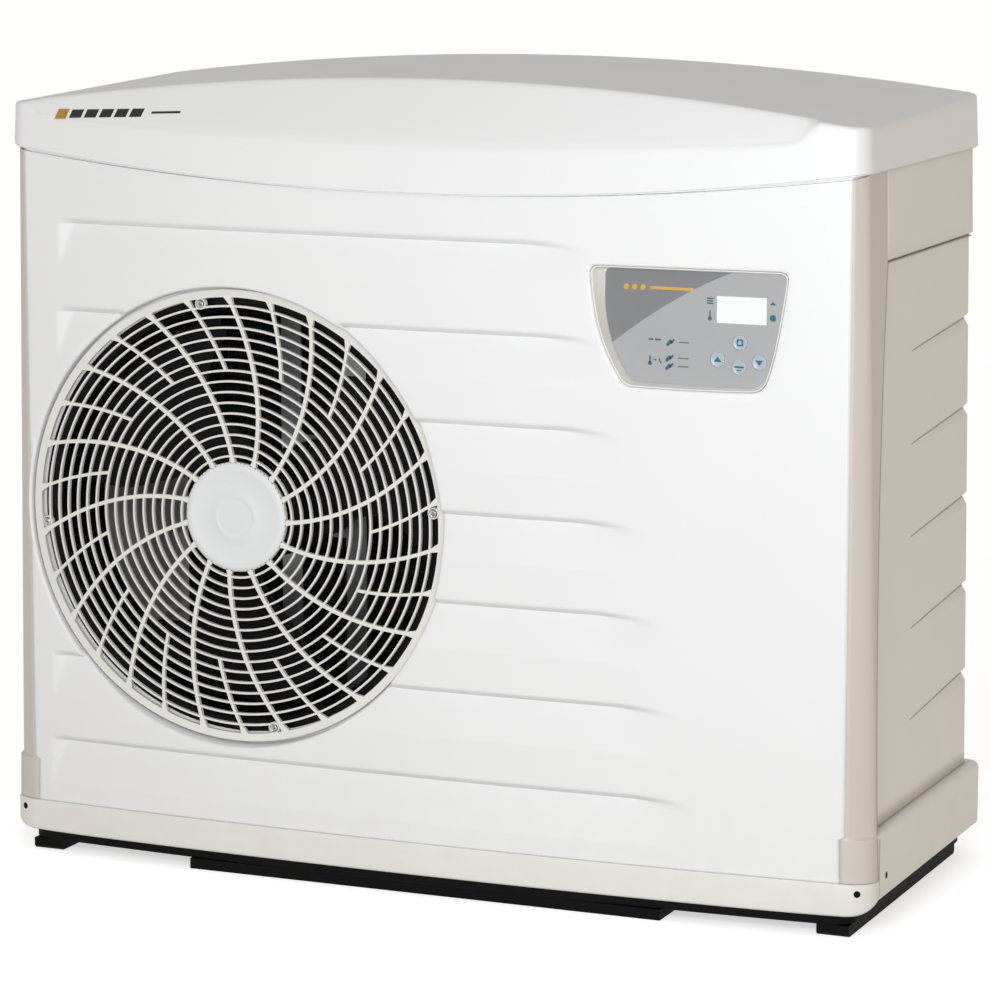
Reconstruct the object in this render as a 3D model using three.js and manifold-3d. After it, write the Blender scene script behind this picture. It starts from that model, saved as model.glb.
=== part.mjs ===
// Pool and spa heat pump: a domed casing on a black base, with an axial fan behind a round
// grille, a recessed control panel, a finned coil at the back and a compressor circuit.
// Millimetres, +Z up. The front faces -Y, and the floor is z = 0.

import * as THREE from 'three';
import * as BufferGeometryUtils from 'three/addons/utils/BufferGeometryUtils.js';
import Module from 'manifold-3d';

const wasm = await Module();
wasm.setup();

// Driving dimensions of the casing
const TOP_HALF_WIDTH = 507.5;
const SIDE_DRAFT = 0.0213;
const BULGE = 18.2;
const CASE_DEPTH = 411;
const LID_OVERHANG = 5;
const UNION_REACH = 38;
const CORNER_TOP = 18;
const CORNER_BOTTOM_WIDTH = 34;
const CORNER_BOTTOM_DEPTH = 24;
const SEAM_CURVE = 2.2;
const BASE_HEIGHT = 23;
const WALL = 4;
const GAP = 0.3;

// Heights above the floor
const FRONT_LIP_Z = BASE_HEIGHT + 37.3;
const SKIRT_TOP_Z = BASE_HEIGHT + 87;
const STEP_Z = BASE_HEIGHT + 703;
const LID_EDGE_Z = BASE_HEIGHT + 801;
const BODY_TOP_Z = LID_EDGE_Z + 12;
const PAN_BOTTOM_Z = 12.5;
const PAN_TOP_Z = 58;
const PAN_SHEET = 3;
const PAN_FLOOR_Z = PAN_BOTTOM_Z + PAN_SHEET + GAP;
const SHEET = 2;

// Depths are measured back from the chord across the front corners
const CHORD_Y = BULGE + LID_OVERHANG - (BULGE + LID_OVERHANG + CASE_DEPTH + UNION_REACH) / 2;
const SEAM_TOP_DEPTH = 75;
const SEAM_BOTTOM_DEPTH = 27;
const RECESS_TOP = 6;
const RECESS_BOTTOM = 13;
const SKIRT_PROUD = 2;
const SKIRT_REAR_PROUD = 9;
const SKIRT_LEDGE = 24;
const SKIRT_REAR_LEDGE = 6;
const SKIRT_LEDGE_HEIGHT = 8;
const SKIRT_CLIMB = 15;
const SKIRT_CLIMB_DEPTHS = [-8, 28];
const REAR_CORNER_RADIUS = 28;
const COIL_INLET = { x0: -462, x1: 96, z0: 140, z1: 760 };

// Rails and plinth under the pan, as half widths and depths
const RAIL = { x0: 463, x1: 500, front: 4, rear: 400, bevel: 3 };
const PLINTH = { half: 288, front: -11, rear: 395 };

// How far a cutting tool reaches past the wall that it goes through
const THROUGH = 60;
const FAR = 600;

// Front ribs
const RIB_COUNT = 7;
const RIB_TOP_Z = BASE_HEIGHT + 713.2;
const RIB_PITCH = 100.5;
const RIB_DROP = 50;
const RIB_DEPTH = 8;
const RIB_LEFT_X = -440;
const RIB_LEFT_FADE = 10;
const RIB_END_X = 210;
const RIB_END_SLOPE = 0.204;
const RIB_FADE = 80;

// Side grooves
const GROOVE_COUNT = 5;
const GROOVE_TOP_Z = BASE_HEIGHT + 600;
const GROOVE_PITCH = 100;
const GROOVE_HEIGHT = 15;
const GROOVE_DEPTH = 8;
const GROOVE_START = 175;

// Lid
const LID_SMILE = 36;
const CREASE_Z = BASE_HEIGHT + 817;
const CREASE_RISE = 19;
const CREASE_FLARE = 12;
const RIDGE_Z = BASE_HEIGHT + 887;
const RIDGE_DROP = 38;
const REAR_TOP_Z = BASE_HEIGHT + 892;
const REAR_DROP = 32;
const RIDGE_SETBACK = 45;

// Fan and grille
const FAN_X = -231;
const FAN_Z = BASE_HEIGHT + 388.3;
const RECESS_RADIUS = 262;
const RECESS_FLOOR = 12;
const GRILLE_DEPTH = 2;
const GRILLE_THICKNESS = 6;
const GRILLE_RADIUS = 257.5;
const SLOT_OUTER_RADIUS = 249.7;
const HUB_RADIUS = 62.6;
const RING_COUNT = 8;
const RING_START = 69.5;
const RING_PITCH = 24.3;
const RING_WIDTH = 3;
const SPLIT_RING = 4;
const SPOKE_COUNT = 15;
const SPOKE_WIDTH = 4.5;
const HALF_SPOKE_WIDTH = 3;
const SPOKE_ANGLE = 21.4;
const SPOKE_TWIST = 0.12;
const SCREW_RADIUS = 244;
const SCREW_ANGLES = [4.75, 100, 185, 280.6];
const BLADE_COUNT = 3;
const BLADE_ROOT_RADIUS = 52;
const BLADE_TIP_RADIUS = 225;
const BLADE_PITCH = 34;
const BLADE_THICKNESS = 3;
const BLADE_DEPTH = 80;
const SHROUD_RADIUS = 232;
const SHROUD_REAR = 120;
const SHAFT_RADIUS = 6;
const SHAFT_FRONT = 36;
const MOTOR_RADIUS = 58;
const MOTOR_FRONT = 150;
const MOTOR_BACK = 234;
const BRACKET = { post: 42, bar: 26, top: 800, sheet: 4 };

// Control panel, as heights and distances on the front
const PANEL_TOP_Z = BASE_HEIGHT + 695;
const PANEL_BOTTOM_Z = BASE_HEIGHT + 565;
const PANEL_TOP_X = [202.5, 427];
const PANEL_BOTTOM_X = [236, 396];
const PANEL_CORNER = 12;
const PANEL_FLOOR = 4.5;
const PANEL_RIM = 2.5;
const LCD = { x0: 343, x1: 399.4, z0: BASE_HEIGHT + 637, z1: BASE_HEIGHT + 666 };
const BUTTON_RADIUS = 8.5;
const BUTTON_CLEARANCE = 0.5;
const BUTTON_DEPTH = 3.5;
const BUTTONS = [
  ['button_top', 370, BASE_HEIGHT + 617.2],
  ['button_left', 345, BASE_HEIGHT + 597.8],
  ['button_middle', 369.3, BASE_HEIGHT + 590.4],
  ['button_right', 392, BASE_HEIGHT + 596.8],
];

const PARTITION_X = 130;
const ROUND_STEPS = 36;
const BUTTON_STEPS = 14;

const materials = {
  white: new THREE.MeshStandardMaterial({ color: 0xebebe8, roughness: 0.4, metalness: 0 }),
  beige: new THREE.MeshStandardMaterial({ color: 0xd9d3ca, roughness: 0.45, metalness: 0 }),
  ivory: new THREE.MeshStandardMaterial({ color: 0xe1e2dc, roughness: 0.4, metalness: 0 }),
  black: new THREE.MeshStandardMaterial({ color: 0x0c0c0a, roughness: 0.6, metalness: 0 }),
  rubber: new THREE.MeshStandardMaterial({ color: 0x1a1a1a, roughness: 0.9, metalness: 0 }),
  grey: new THREE.MeshStandardMaterial({ color: 0xb2b2b4, roughness: 0.35, metalness: 0 }),
  darkGrey: new THREE.MeshStandardMaterial({ color: 0x3a3c3e, roughness: 0.5, metalness: 0 }),
  screen: new THREE.MeshStandardMaterial({ color: 0xf4f6f6, roughness: 0.15, metalness: 0 }),
  steel: new THREE.MeshStandardMaterial({ color: 0xa8abad, roughness: 0.35, metalness: 1 }),
  aluminium: new THREE.MeshStandardMaterial({ color: 0xc4c7c9, roughness: 0.4, metalness: 1 }),
  copper: new THREE.MeshStandardMaterial({ color: 0xb87046, roughness: 0.35, metalness: 1 }),
  brass: new THREE.MeshStandardMaterial({ color: 0xc2a050, roughness: 0.35, metalness: 1 }),
  board: new THREE.MeshStandardMaterial({ color: 0x1f5a38, roughness: 0.5, metalness: 0 }),
};

const model = new THREE.Group();

function addPiece(name, geometry, material) {
  const mesh = new THREE.Mesh(geometry, material);
  mesh.name = name;
  model.add(mesh);
}

// Booleans

function toSolid(geometry) {
  const bare = geometry.clone();
  bare.deleteAttribute('normal');
  bare.deleteAttribute('uv');
  const merged = BufferGeometryUtils.mergeVertices(bare, 1e-4);
  return new wasm.Manifold(new wasm.Mesh({
    numProp: 3,
    vertProperties: new Float32Array(merged.attributes.position.array),
    triVerts: new Uint32Array(merged.index.array),
  }));
}

function toGeometry(solid) {
  const mesh = solid.getMesh();
  const geometry = new THREE.BufferGeometry();
  geometry.setAttribute('position', new THREE.BufferAttribute(mesh.vertProperties, 3));
  geometry.setIndex(new THREE.BufferAttribute(mesh.triVerts, 1));
  return geometry;
}

function cut(geometry, ...tools) {
  return toGeometry(tools.reduce((solid, tool) => solid.subtract(toSolid(tool)), toSolid(geometry)));
}

function join(geometry, ...others) {
  return toGeometry(others.reduce((solid, other) => solid.add(toSolid(other)), toSolid(geometry)));
}

function common(geometry, other) {
  return toGeometry(toSolid(geometry).intersect(toSolid(other)));
}

// Basic shapes

const back = (depth) => CHORD_Y + depth;

function block(x0, x1, y0, y1, z0, z1) {
  const geometry = new THREE.BoxGeometry(x1 - x0, y1 - y0, z1 - z0);
  geometry.translate((x0 + x1) / 2, (y0 + y1) / 2, (z0 + z1) / 2);
  return geometry;
}

// A shape drawn in X and Z, extruded from y0 back to y1
function plateAlongY(shape, y0, y1, curveSegments = 4) {
  const settings = { depth: y1 - y0, bevelEnabled: false, curveSegments };
  const geometry = new THREE.ExtrudeGeometry(shape, settings);
  geometry.rotateX(Math.PI / 2);
  geometry.translate(0, y1, 0);
  return geometry;
}

// A shape drawn in X and Y, extruded from z0 up to z1
function plateAlongZ(shape, z0, z1, curveSegments = 6) {
  const settings = { depth: z1 - z0, bevelEnabled: false, curveSegments };
  const geometry = new THREE.ExtrudeGeometry(shape, settings);
  geometry.translate(0, 0, z0);
  return geometry;
}

function polygon(points) {
  return new THREE.Shape(points.map(([x, y]) => new THREE.Vector2(x, y)));
}

// A turned piece about a line parallel to Y: the profile is radius and depth behind the chord
function turnedAlongY(profile, x, z, segments = 24) {
  const points = profile.map(([radius, depth]) => new THREE.Vector2(radius, back(depth)));
  const geometry = new THREE.LatheGeometry(points, segments);
  geometry.translate(x, 0, z);
  return geometry;
}

// A turned piece about a line parallel to Z: the profile is radius and height
function turnedAlongZ(profile, x, y, segments = 16) {
  const points = profile.map(([radius, height]) => new THREE.Vector2(radius, height));
  const geometry = new THREE.LatheGeometry(points, segments);
  geometry.rotateX(Math.PI / 2);
  geometry.translate(x, y, 0);
  return geometry;
}

function discProfile(radius, from, to) {
  return [[0, from], [radius, from], [radius, to], [0, to]];
}

function ringProfile(inner, outer, from, to) {
  return [[inner, from], [outer, from], [outer, to], [inner, to], [inner, from]];
}

function pipe(points, radius, steps) {
  const curve = new THREE.CatmullRomCurve3(
    points.map(([x, depth, z]) => new THREE.Vector3(x, back(depth), z)), false, 'centripetal');
  const section = new THREE.Shape();
  section.absarc(0, 0, radius, 0, Math.PI * 2);
  return new THREE.ExtrudeGeometry(section, { steps, extrudePath: curve, curveSegments: 2 });
}

// Casing surfaces

const halfWidth = (z) => TOP_HALF_WIDTH + SIDE_DRAFT * (LID_EDGE_Z - z);
const frontDepth = (x) => -BULGE * (1 - (x / TOP_HALF_WIDTH) ** 2);
const clamp01 = (value) => Math.min(1, Math.max(0, value));

// The front corner grows rounder towards the floor, and wider across than it is deep
const towardsFloor = (z, top, bottom) => THREE.MathUtils.mapLinear(z, LID_EDGE_Z, BASE_HEIGHT, top, bottom);
const cornerWidth = (z) => towardsFloor(z, CORNER_TOP, CORNER_BOTTOM_WIDTH);
const cornerDepth = (z) => towardsFloor(z, CORNER_TOP, CORNER_BOTTOM_DEPTH);

// The seam between the front panel and the rear casing leans forward and curves towards the floor
function seamDepth(z) {
  const rise = clamp01((z - SKIRT_TOP_Z) / (STEP_Z - SKIRT_TOP_Z));
  return SEAM_BOTTOM_DEPTH + (SEAM_TOP_DEPTH - SEAM_BOTTOM_DEPTH) * rise ** SEAM_CURVE;
}

// The side panel sinks deeper behind the casing's edge towards the floor
const sideRecess = (z) => THREE.MathUtils.mapLinear(z, STEP_Z, SKIRT_TOP_Z, RECESS_TOP, RECESS_BOTTOM);

// How far a front rib's slope lies behind the front surface
function ribDepth(x, z) {
  const index = Math.round((RIB_TOP_Z - z - RIB_DROP / 2) / RIB_PITCH);
  if (index < 0 || index >= RIB_COUNT) return 0;
  const edge = RIB_TOP_Z - index * RIB_PITCH;
  const drop = edge - z;
  if (drop <= 0 || drop >= RIB_DROP) return 0;
  const end = RIB_END_X + RIB_END_SLOPE * (RIB_TOP_Z - edge);
  const fade = clamp01((x - RIB_LEFT_X) / RIB_LEFT_FADE) * clamp01((end - x) / RIB_FADE);
  return RIB_DEPTH * fade * (1 - drop / RIB_DROP);
}

// How far a side groove lies behind the recessed side panel
function grooveDepth(depth, z) {
  const index = Math.round((GROOVE_TOP_Z - z) / GROOVE_PITCH);
  if (index < 0 || index >= GROOVE_COUNT) return 0;
  const offset = Math.abs(GROOVE_TOP_Z - index * GROOVE_PITCH - z);
  const across = 1 - offset / (GROOVE_HEIGHT / 2);
  const along = clamp01((depth - GROOVE_START) / (CASE_DEPTH - GROOVE_START));
  return across > 0 ? GROOVE_DEPTH * across * along : 0;
}

// Plan points round the front, from the left seam to the right seam
function frontPath(z, inset, relief) {
  const half = halfWidth(z) - inset;
  const [wide, deep] = [cornerWidth(z) - inset, cornerDepth(z) - inset];
  const points = [];
  const cornerSteps = 3;
  const frontSteps = 12;
  const cornerX = half - wide;
  const centreY = back(frontDepth(cornerX) + inset) + deep;
  points.push([-half, back(seamDepth(z))]);
  for (let i = 0; i < cornerSteps; i += 1) {
    const angle = Math.PI * (1 + i / cornerSteps / 2);
    points.push([-cornerX + wide * Math.cos(angle), centreY + deep * Math.sin(angle)]);
  }
  for (let i = 0; i <= frontSteps; i += 1) {
    const x = cornerX * (2 * i / frontSteps - 1);
    points.push([x, back(frontDepth(x) + inset + (relief ? ribDepth(x, z) : 0))]);
  }
  for (let i = cornerSteps - 1; i >= 0; i -= 1) {
    const angle = Math.PI * (2 - i / cornerSteps / 2);
    points.push([cornerX + wide * Math.cos(angle), centreY + deep * Math.sin(angle)]);
  }
  points.push([half, back(seamDepth(z))]);
  return points;
}

// Plan points round the sides and back, from the right seam to the left seam
function rearPath(z, inset, sideInset) {
  const sideSteps = 3;
  const cornerSteps = 2;
  const radius = REAR_CORNER_RADIUS - inset;
  const sideEnd = CASE_DEPTH - REAR_CORNER_RADIUS;
  const seam = seamDepth(z) + GAP;
  const right = [[halfWidth(z) - inset, seam]];
  for (let i = 0; i <= sideSteps; i += 1) {
    const depth = THREE.MathUtils.lerp(seam + 4, sideEnd, i / sideSteps);
    right.push([halfWidth(z) - inset - sideInset(depth, z), depth]);
  }
  const cornerX = right.at(-1)[0] - radius;
  for (let i = 1; i <= cornerSteps; i += 1) {
    const angle = (Math.PI / 2) * (i / cornerSteps);
    right.push([cornerX + radius * Math.cos(angle), sideEnd + radius * Math.sin(angle)]);
  }
  const left = right.map(([x, depth]) => [-x, depth]).reverse();
  return [...right, ...left].map(([x, depth]) => [x, back(depth)]);
}

// A wall that follows plan paths at several heights. pathAt(z, inset) gives the plan points.
function wall(pathAt, heights, thickness) {
  const columns = pathAt(heights[0], 0).length - 1;
  const rows = heights.length - 1;
  const geometry = new THREE.BoxGeometry(columns, 1, rows, columns, 1, rows);
  const positions = geometry.attributes.position;
  const outer = heights.map((z) => pathAt(z, 0));
  const inner = heights.map((z) => pathAt(z, thickness));
  for (let i = 0; i < positions.count; i += 1) {
    const column = Math.round(positions.getX(i) + columns / 2);
    const row = Math.round(positions.getZ(i) + rows / 2);
    const [x, y] = (positions.getY(i) < 0 ? outer : inner)[row][column];
    positions.setXYZ(i, x, y, heights[row]);
  }
  return geometry;
}

function heightsWith(marks, from, to) {
  const inside = marks.filter((z) => z > from + 1 && z < to - 1);
  return [from, ...inside, to].sort((a, b) => a - b);
}

function ribHeights() {
  const marks = [];
  for (let i = 0; i < RIB_COUNT; i += 1) {
    const edge = RIB_TOP_Z - i * RIB_PITCH;
    marks.push(edge - RIB_DROP, edge - 1, edge);
  }
  return marks;
}

// A block of the front's material: it reaches from the ribbed front surface back to a depth
function frontBlock(x0, x1, z0, z1, depth) {
  const columns = 8;
  const heights = heightsWith(ribHeights(), z0, z1);
  const rows = heights.length - 1;
  const geometry = new THREE.BoxGeometry(columns, 1, rows, columns, 1, rows);
  const positions = geometry.attributes.position;
  for (let i = 0; i < positions.count; i += 1) {
    const x = THREE.MathUtils.lerp(x0, x1, (positions.getX(i) + columns / 2) / columns);
    const z = heights[Math.round(positions.getZ(i) + rows / 2)];
    const y = positions.getY(i) < 0 ? frontDepth(x) + ribDepth(x, z) : depth;
    positions.setXYZ(i, x, back(y), z);
  }
  return geometry;
}

// Outline of the control recess, grown outwards by a margin
function panelShape(margin) {
  const [left, right] = [PANEL_TOP_X[0] - margin, PANEL_TOP_X[1] + margin];
  const [bottomLeft, bottomRight] = [PANEL_BOTTOM_X[0] - margin, PANEL_BOTTOM_X[1] + margin];
  const [top, bottom] = [PANEL_TOP_Z + margin, PANEL_BOTTOM_Z - margin];
  const [upper, lower] = [top - PANEL_CORNER, bottom + PANEL_CORNER];
  const shape = new THREE.Shape();
  shape.moveTo(left + PANEL_CORNER, top);
  shape.lineTo(right - PANEL_CORNER, top);
  shape.quadraticCurveTo(right, top, right - 2, upper);
  shape.quadraticCurveTo(bottomRight + 24, bottom + 45, bottomRight, lower);
  shape.quadraticCurveTo(bottomRight - 5, bottom, bottomRight - 18, bottom);
  shape.lineTo(bottomLeft + 18, bottom);
  shape.quadraticCurveTo(bottomLeft + 5, bottom, bottomLeft, lower);
  shape.quadraticCurveTo(bottomLeft - 27, bottom + 52, left + 2, upper);
  shape.quadraticCurveTo(left, top, left + PANEL_CORNER, top);
  return shape;
}

// Casing pieces

function makeFrontPanel() {
  const heights = heightsWith(ribHeights(), FRONT_LIP_Z, BODY_TOP_Z);
  const shell = wall((z, inset) => frontPath(z, inset, true), heights, WALL);
  const hole = turnedAlongY(discProfile(RECESS_RADIUS + 1, -THROUGH, THROUGH), FAN_X, FAN_Z, ROUND_STEPS);
  const [outside, floor] = [RECESS_RADIUS + WALL, RECESS_FLOOR + WALL];
  const cupProfile = [
    [RECESS_RADIUS, -THROUGH], [outside, -THROUGH], [outside, floor], [SLOT_OUTER_RADIUS, floor],
    [SLOT_OUTER_RADIUS, RECESS_FLOOR], [RECESS_RADIUS, RECESS_FLOOR], [RECESS_RADIUS, -THROUGH],
  ];
  const half = outside + 2;
  const cup = common(
    turnedAlongY(cupProfile, FAN_X, FAN_Z, ROUND_STEPS),
    frontBlock(FAN_X - half, FAN_X + half, FAN_Z - half, FAN_Z + half, floor));
  const window = plateAlongY(panelShape(GAP), back(-THROUGH), back(THROUGH));
  return cut(join(cut(shell, hole), cup), window);
}

function makeRearCasing() {
  const marks = [STEP_Z - 1, STEP_Z];
  for (let i = 0; i < GROOVE_COUNT; i += 1) {
    const centre = GROOVE_TOP_Z - i * GROOVE_PITCH;
    marks.push(centre - GROOVE_HEIGHT / 2, centre, centre + GROOVE_HEIGHT / 2);
  }
  const heights = heightsWith(marks, SKIRT_TOP_Z + GAP, BODY_TOP_Z);
  const sideInset = (depth, z) => (z < STEP_Z ? sideRecess(z) + grooveDepth(depth, z) : 0);
  const shell = wall((z, inset) => rearPath(z, inset, sideInset), heights, WALL);
  const { x0, x1, z0, z1 } = COIL_INLET;
  const [inside, outside] = [CASE_DEPTH - THROUGH, CASE_DEPTH + THROUGH];
  const inlet = block(x0, x1, back(inside), back(outside), z0, z1);
  const ports = UNION_HEIGHTS.map(
    (z) => turnedAlongY(discProfile(UNION_RADIUS + 2, inside, outside), UNION_X, z));
  const gland = turnedAlongY(discProfile(GLAND_RADIUS, inside, outside), GLAND_X, GLAND_Z);
  return cut(shell, inlet, ...ports, gland);
}

// Rounded plan of the whole casing at one height, as a shape
function casingPlan(z, inset, rearInset) {
  const front = frontPath(z, inset, false);
  const half = halfWidth(z) - inset;
  const backY = back(CASE_DEPTH - rearInset);
  const cornerX = half - REAR_CORNER_RADIUS;
  const cornerY = backY - REAR_CORNER_RADIUS;
  const shape = polygon(front);
  shape.lineTo(half, cornerY);
  shape.quadraticCurveTo(half, backY, cornerX, backY);
  shape.lineTo(-cornerX, backY);
  shape.quadraticCurveTo(-half, backY, -half, cornerY);
  shape.closePath();
  return shape;
}

function makeBaseSkirt() {
  const outer = casingPlan(BASE_HEIGHT, -SKIRT_PROUD, -SKIRT_REAR_PROUD);
  const inner = casingPlan(BASE_HEIGHT, WALL, WALL - SKIRT_REAR_PROUD);
  const opening = casingPlan(BASE_HEIGHT, SKIRT_LEDGE, SKIRT_REAR_LEDGE);
  const ring = cut(
    plateAlongZ(outer, BASE_HEIGHT, SKIRT_TOP_Z),
    plateAlongZ(inner, BASE_HEIGHT - 1, SKIRT_TOP_Z - SKIRT_LEDGE_HEIGHT),
    plateAlongZ(opening, BASE_HEIGHT, SKIRT_TOP_Z + 1));
  const frontRelief = block(-FAR, FAR, back(-THROUGH), back(SEAM_BOTTOM_DEPTH + GAP),
    FRONT_LIP_Z - GAP, SKIRT_TOP_Z + 1);
  const screwHoles = SKIRT_SCREWS.map(({ side, depth, z, face }) => sideways(
    SKIRT_SCREW_RADIUS + GAP, side, face - WALL * 2, face + THROUGH, depth, z));
  return cut(ring, frontRelief, makeSkirtRelief(), ...screwHoles);
}

// The skirt's lower edge climbs as it leaves the front corner, and stays high round the back
function makeSkirtRelief() {
  const [start, end] = SKIRT_CLIMB_DEPTHS.map(back);
  const bottom = BASE_HEIGHT - 1;
  const top = BASE_HEIGHT + SKIRT_CLIMB;
  const outline = polygon([[start, bottom], [end, top], [back(FAR), top], [back(FAR), bottom]]);
  return extrudedAlongX(outline, -FAR, FAR);
}

// An outline of depth and height, drawn out along X
function extrudedAlongX(outline, x0, x1) {
  const geometry = new THREE.ExtrudeGeometry(outline, { depth: x1 - x0, bevelEnabled: false });
  geometry.rotateX(Math.PI / 2);
  geometry.rotateZ(Math.PI / 2);
  geometry.translate(x0, 0, 0);
  return geometry;
}

// A cylinder parallel to X on one side of the casing
function sideways(radius, side, from, to, depth, z) {
  const geometry = new THREE.CylinderGeometry(radius, radius, to - from, 10);
  geometry.rotateZ(Math.PI / 2);
  geometry.translate(side * (from + to) / 2, back(depth), z);
  return geometry;
}

function makeBasePan() {
  const rear = WALL + GAP - SKIRT_REAR_PROUD;
  const outer = plateAlongZ(casingPlan(BASE_HEIGHT, WALL + GAP, rear), PAN_BOTTOM_Z, PAN_TOP_Z);
  const hollow = casingPlan(BASE_HEIGHT, WALL * 2, rear + WALL);
  const inner = plateAlongZ(hollow, PAN_BOTTOM_Z + PAN_SHEET, PAN_TOP_Z + 1);
  const drainHole = discProfile(DRAIN_RADIUS + 0.5, 0, PAN_FLOOR_Z + 1);
  const drain = turnedAlongZ(drainHole, DRAIN_X, back(DRAIN_DEPTH));
  return cut(outer, inner, drain);
}

// The lid: a block with a smiling lower edge and an arched top, trimmed to a rounded plan
function lidBlock(inset) {
  const columns = 16;
  const depths = [0, 1, 2, 3, 4];
  const rows = depths.length - 1;
  const geometry = new THREE.BoxGeometry(columns, rows, 1, columns, rows, 1);
  const positions = geometry.attributes.position;
  const half = TOP_HALF_WIDTH + LID_OVERHANG + 20;
  for (let i = 0; i < positions.count; i += 1) {
    const x = half * positions.getX(i) / (columns / 2);
    const row = Math.round(positions.getY(i) + rows / 2);
    const arch = (x / TOP_HALF_WIDTH) ** 2;
    const lens = clamp01(1 - arch);
    const front = frontDepth(x) - LID_OVERHANG;
    const ridge = front + 2 + RIDGE_SETBACK * lens;
    const rear = CASE_DEPTH + LID_OVERHANG;
    const depthsHere = [front - THROUGH, front + 1, ridge, rear - 4, rear + THROUGH];
    const ridgeTop = RIDGE_Z - RIDGE_DROP * arch;
    const rearTop = REAR_TOP_Z - REAR_DROP * arch;
    const crease = Math.min(CREASE_Z + CREASE_RISE * arch + CREASE_FLARE * arch ** 6, ridgeTop);
    const tops = [crease, crease, ridgeTop, rearTop, rearTop - 4];
    const smile = row < 3 ? LID_SMILE * lens : 0;
    const bottom = inset > 0 ? LID_EDGE_Z - LID_SMILE - THROUGH : LID_EDGE_Z - smile;
    const z = positions.getZ(i) < 0 ? bottom : tops[row] - inset;
    positions.setXYZ(i, x, back(depthsHere[row]), z);
  }
  return geometry;
}

function makeTopCover() {
  const column = (grown) => plateAlongZ(casingPlan(LID_EDGE_Z, -grown, -grown), 0, FAR * 2);
  const outer = column(LID_OVERHANG);
  const inner = column(LID_OVERHANG - WALL);
  const solid = common(lidBlock(0), outer);
  const hollow = common(lidBlock(WALL), inner);
  return cut(solid, hollow);
}

// A full-length rail whose lower ends are bevelled
function makeRail(side) {
  const { x0, x1, front, rear, bevel } = RAIL;
  const top = PAN_BOTTOM_Z - GAP;
  const outline = polygon([
    [back(front), bevel], [back(front + bevel), 0], [back(rear - bevel), 0], [back(rear), bevel],
    [back(rear), top], [back(front), top],
  ]);
  return side < 0 ? extrudedAlongX(outline, -x1, -x0) : extrudedAlongX(outline, x0, x1);
}

function makeCenterPlinth() {
  const { half, front, rear } = PLINTH;
  return block(-half, half, back(front), back(rear), 0, PAN_BOTTOM_Z - GAP);
}

// Grille

const radians = THREE.MathUtils.degToRad;
const spokeAngle = (index, radius) => radians(
  SPOKE_ANGLE + index * 360 / SPOKE_COUNT + SPOKE_TWIST * (radius - HUB_RADIUS));

function polar(radius, angle) {
  return [FAN_X + radius * Math.cos(angle), FAN_Z + radius * Math.sin(angle)];
}

// One opening between two rings and two spokes. Whole and half spokes have their own widths.
function slotHole(inner, outer, from, to, widthFrom, widthTo) {
  const corners = [
    polar(inner, spokeAngle(from, inner) + widthFrom / 2 / inner),
    polar(outer, spokeAngle(from, outer) + widthFrom / 2 / outer),
    polar(outer, spokeAngle(to, outer) - widthTo / 2 / outer),
    polar(inner, spokeAngle(to, inner) - widthTo / 2 / inner),
  ];
  return new THREE.Path(corners.map(([x, y]) => new THREE.Vector2(x, y)));
}

function makeGrille() {
  const shape = new THREE.Shape();
  shape.absarc(FAN_X, FAN_Z, GRILLE_RADIUS, 0, Math.PI * 2);
  for (let ring = -1; ring < RING_COUNT; ring += 1) {
    const start = ring < 0 ? HUB_RADIUS : RING_START + ring * RING_PITCH + RING_WIDTH / 2;
    const next = RING_START + (ring + 1) * RING_PITCH - RING_WIDTH / 2;
    const end = ring === RING_COUNT - 1 ? SLOT_OUTER_RADIUS : next;
    for (let spoke = 0; spoke < SPOKE_COUNT; spoke += 1) {
      if (ring < SPLIT_RING) {
        shape.holes.push(slotHole(start, end, spoke, spoke + 1, SPOKE_WIDTH, SPOKE_WIDTH));
      } else {
        shape.holes.push(slotHole(start, end, spoke, spoke + 0.5, SPOKE_WIDTH, HALF_SPOKE_WIDTH));
        shape.holes.push(slotHole(start, end, spoke + 0.5, spoke + 1, HALF_SPOKE_WIDTH, SPOKE_WIDTH));
      }
    }
  }
  const plate = plateAlongY(shape, back(GRILLE_DEPTH), back(GRILLE_DEPTH + GRILLE_THICKNESS), 24);
  const boss = discProfile(6.5, GRILLE_DEPTH, GRILLE_DEPTH + GRILLE_THICKNESS);
  const bosses = SCREW_ANGLES.map((angle) => screwTurned(boss, angle));
  const holes = SCREW_ANGLES.map((angle) => screwTurned(discProfile(4, -THROUGH, THROUGH), angle));
  return cut(join(plate, ...bosses), ...holes);
}

function screwTurned(profile, angle, segments = 8) {
  const x = FAN_X + SCREW_RADIUS * Math.cos(radians(angle));
  const z = FAN_Z + SCREW_RADIUS * Math.sin(radians(angle));
  return turnedAlongY(profile, x, z, segments);
}

function makeHubCap() {
  const face = GRILLE_DEPTH - GAP;
  const profile = [
    [0, face - 2.5], [38, face - 2.5], [38, face - 1.5], [42, face - 1.5], [42, face - 2.5],
    [58, face - 2.2], [61.5, face - 1], [61.5, face], [0, face],
  ];
  return turnedAlongY(profile, FAN_X, FAN_Z, 24);
}

function makeGrilleScrew(angle) {
  const front = GRILLE_DEPTH - GAP;
  const profile = [
    [0, front - 2], [4, front - 2], [5.5, front - 0.5], [5.5, front], [3.4, front],
    [3.4, RECESS_FLOOR - GAP], [0, RECESS_FLOOR - GAP],
  ];
  return screwTurned(profile, angle);
}

// Control panel

function buttonHole(x, z) {
  return turnedAlongY(discProfile(BUTTON_RADIUS + BUTTON_CLEARANCE, -THROUGH, THROUGH), x, z, BUTTON_STEPS);
}

function lcdBlock(margin, from, to) {
  return block(LCD.x0 - margin, LCD.x1 + margin, back(from), back(to), LCD.z0 - margin, LCD.z1 + margin);
}

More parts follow.
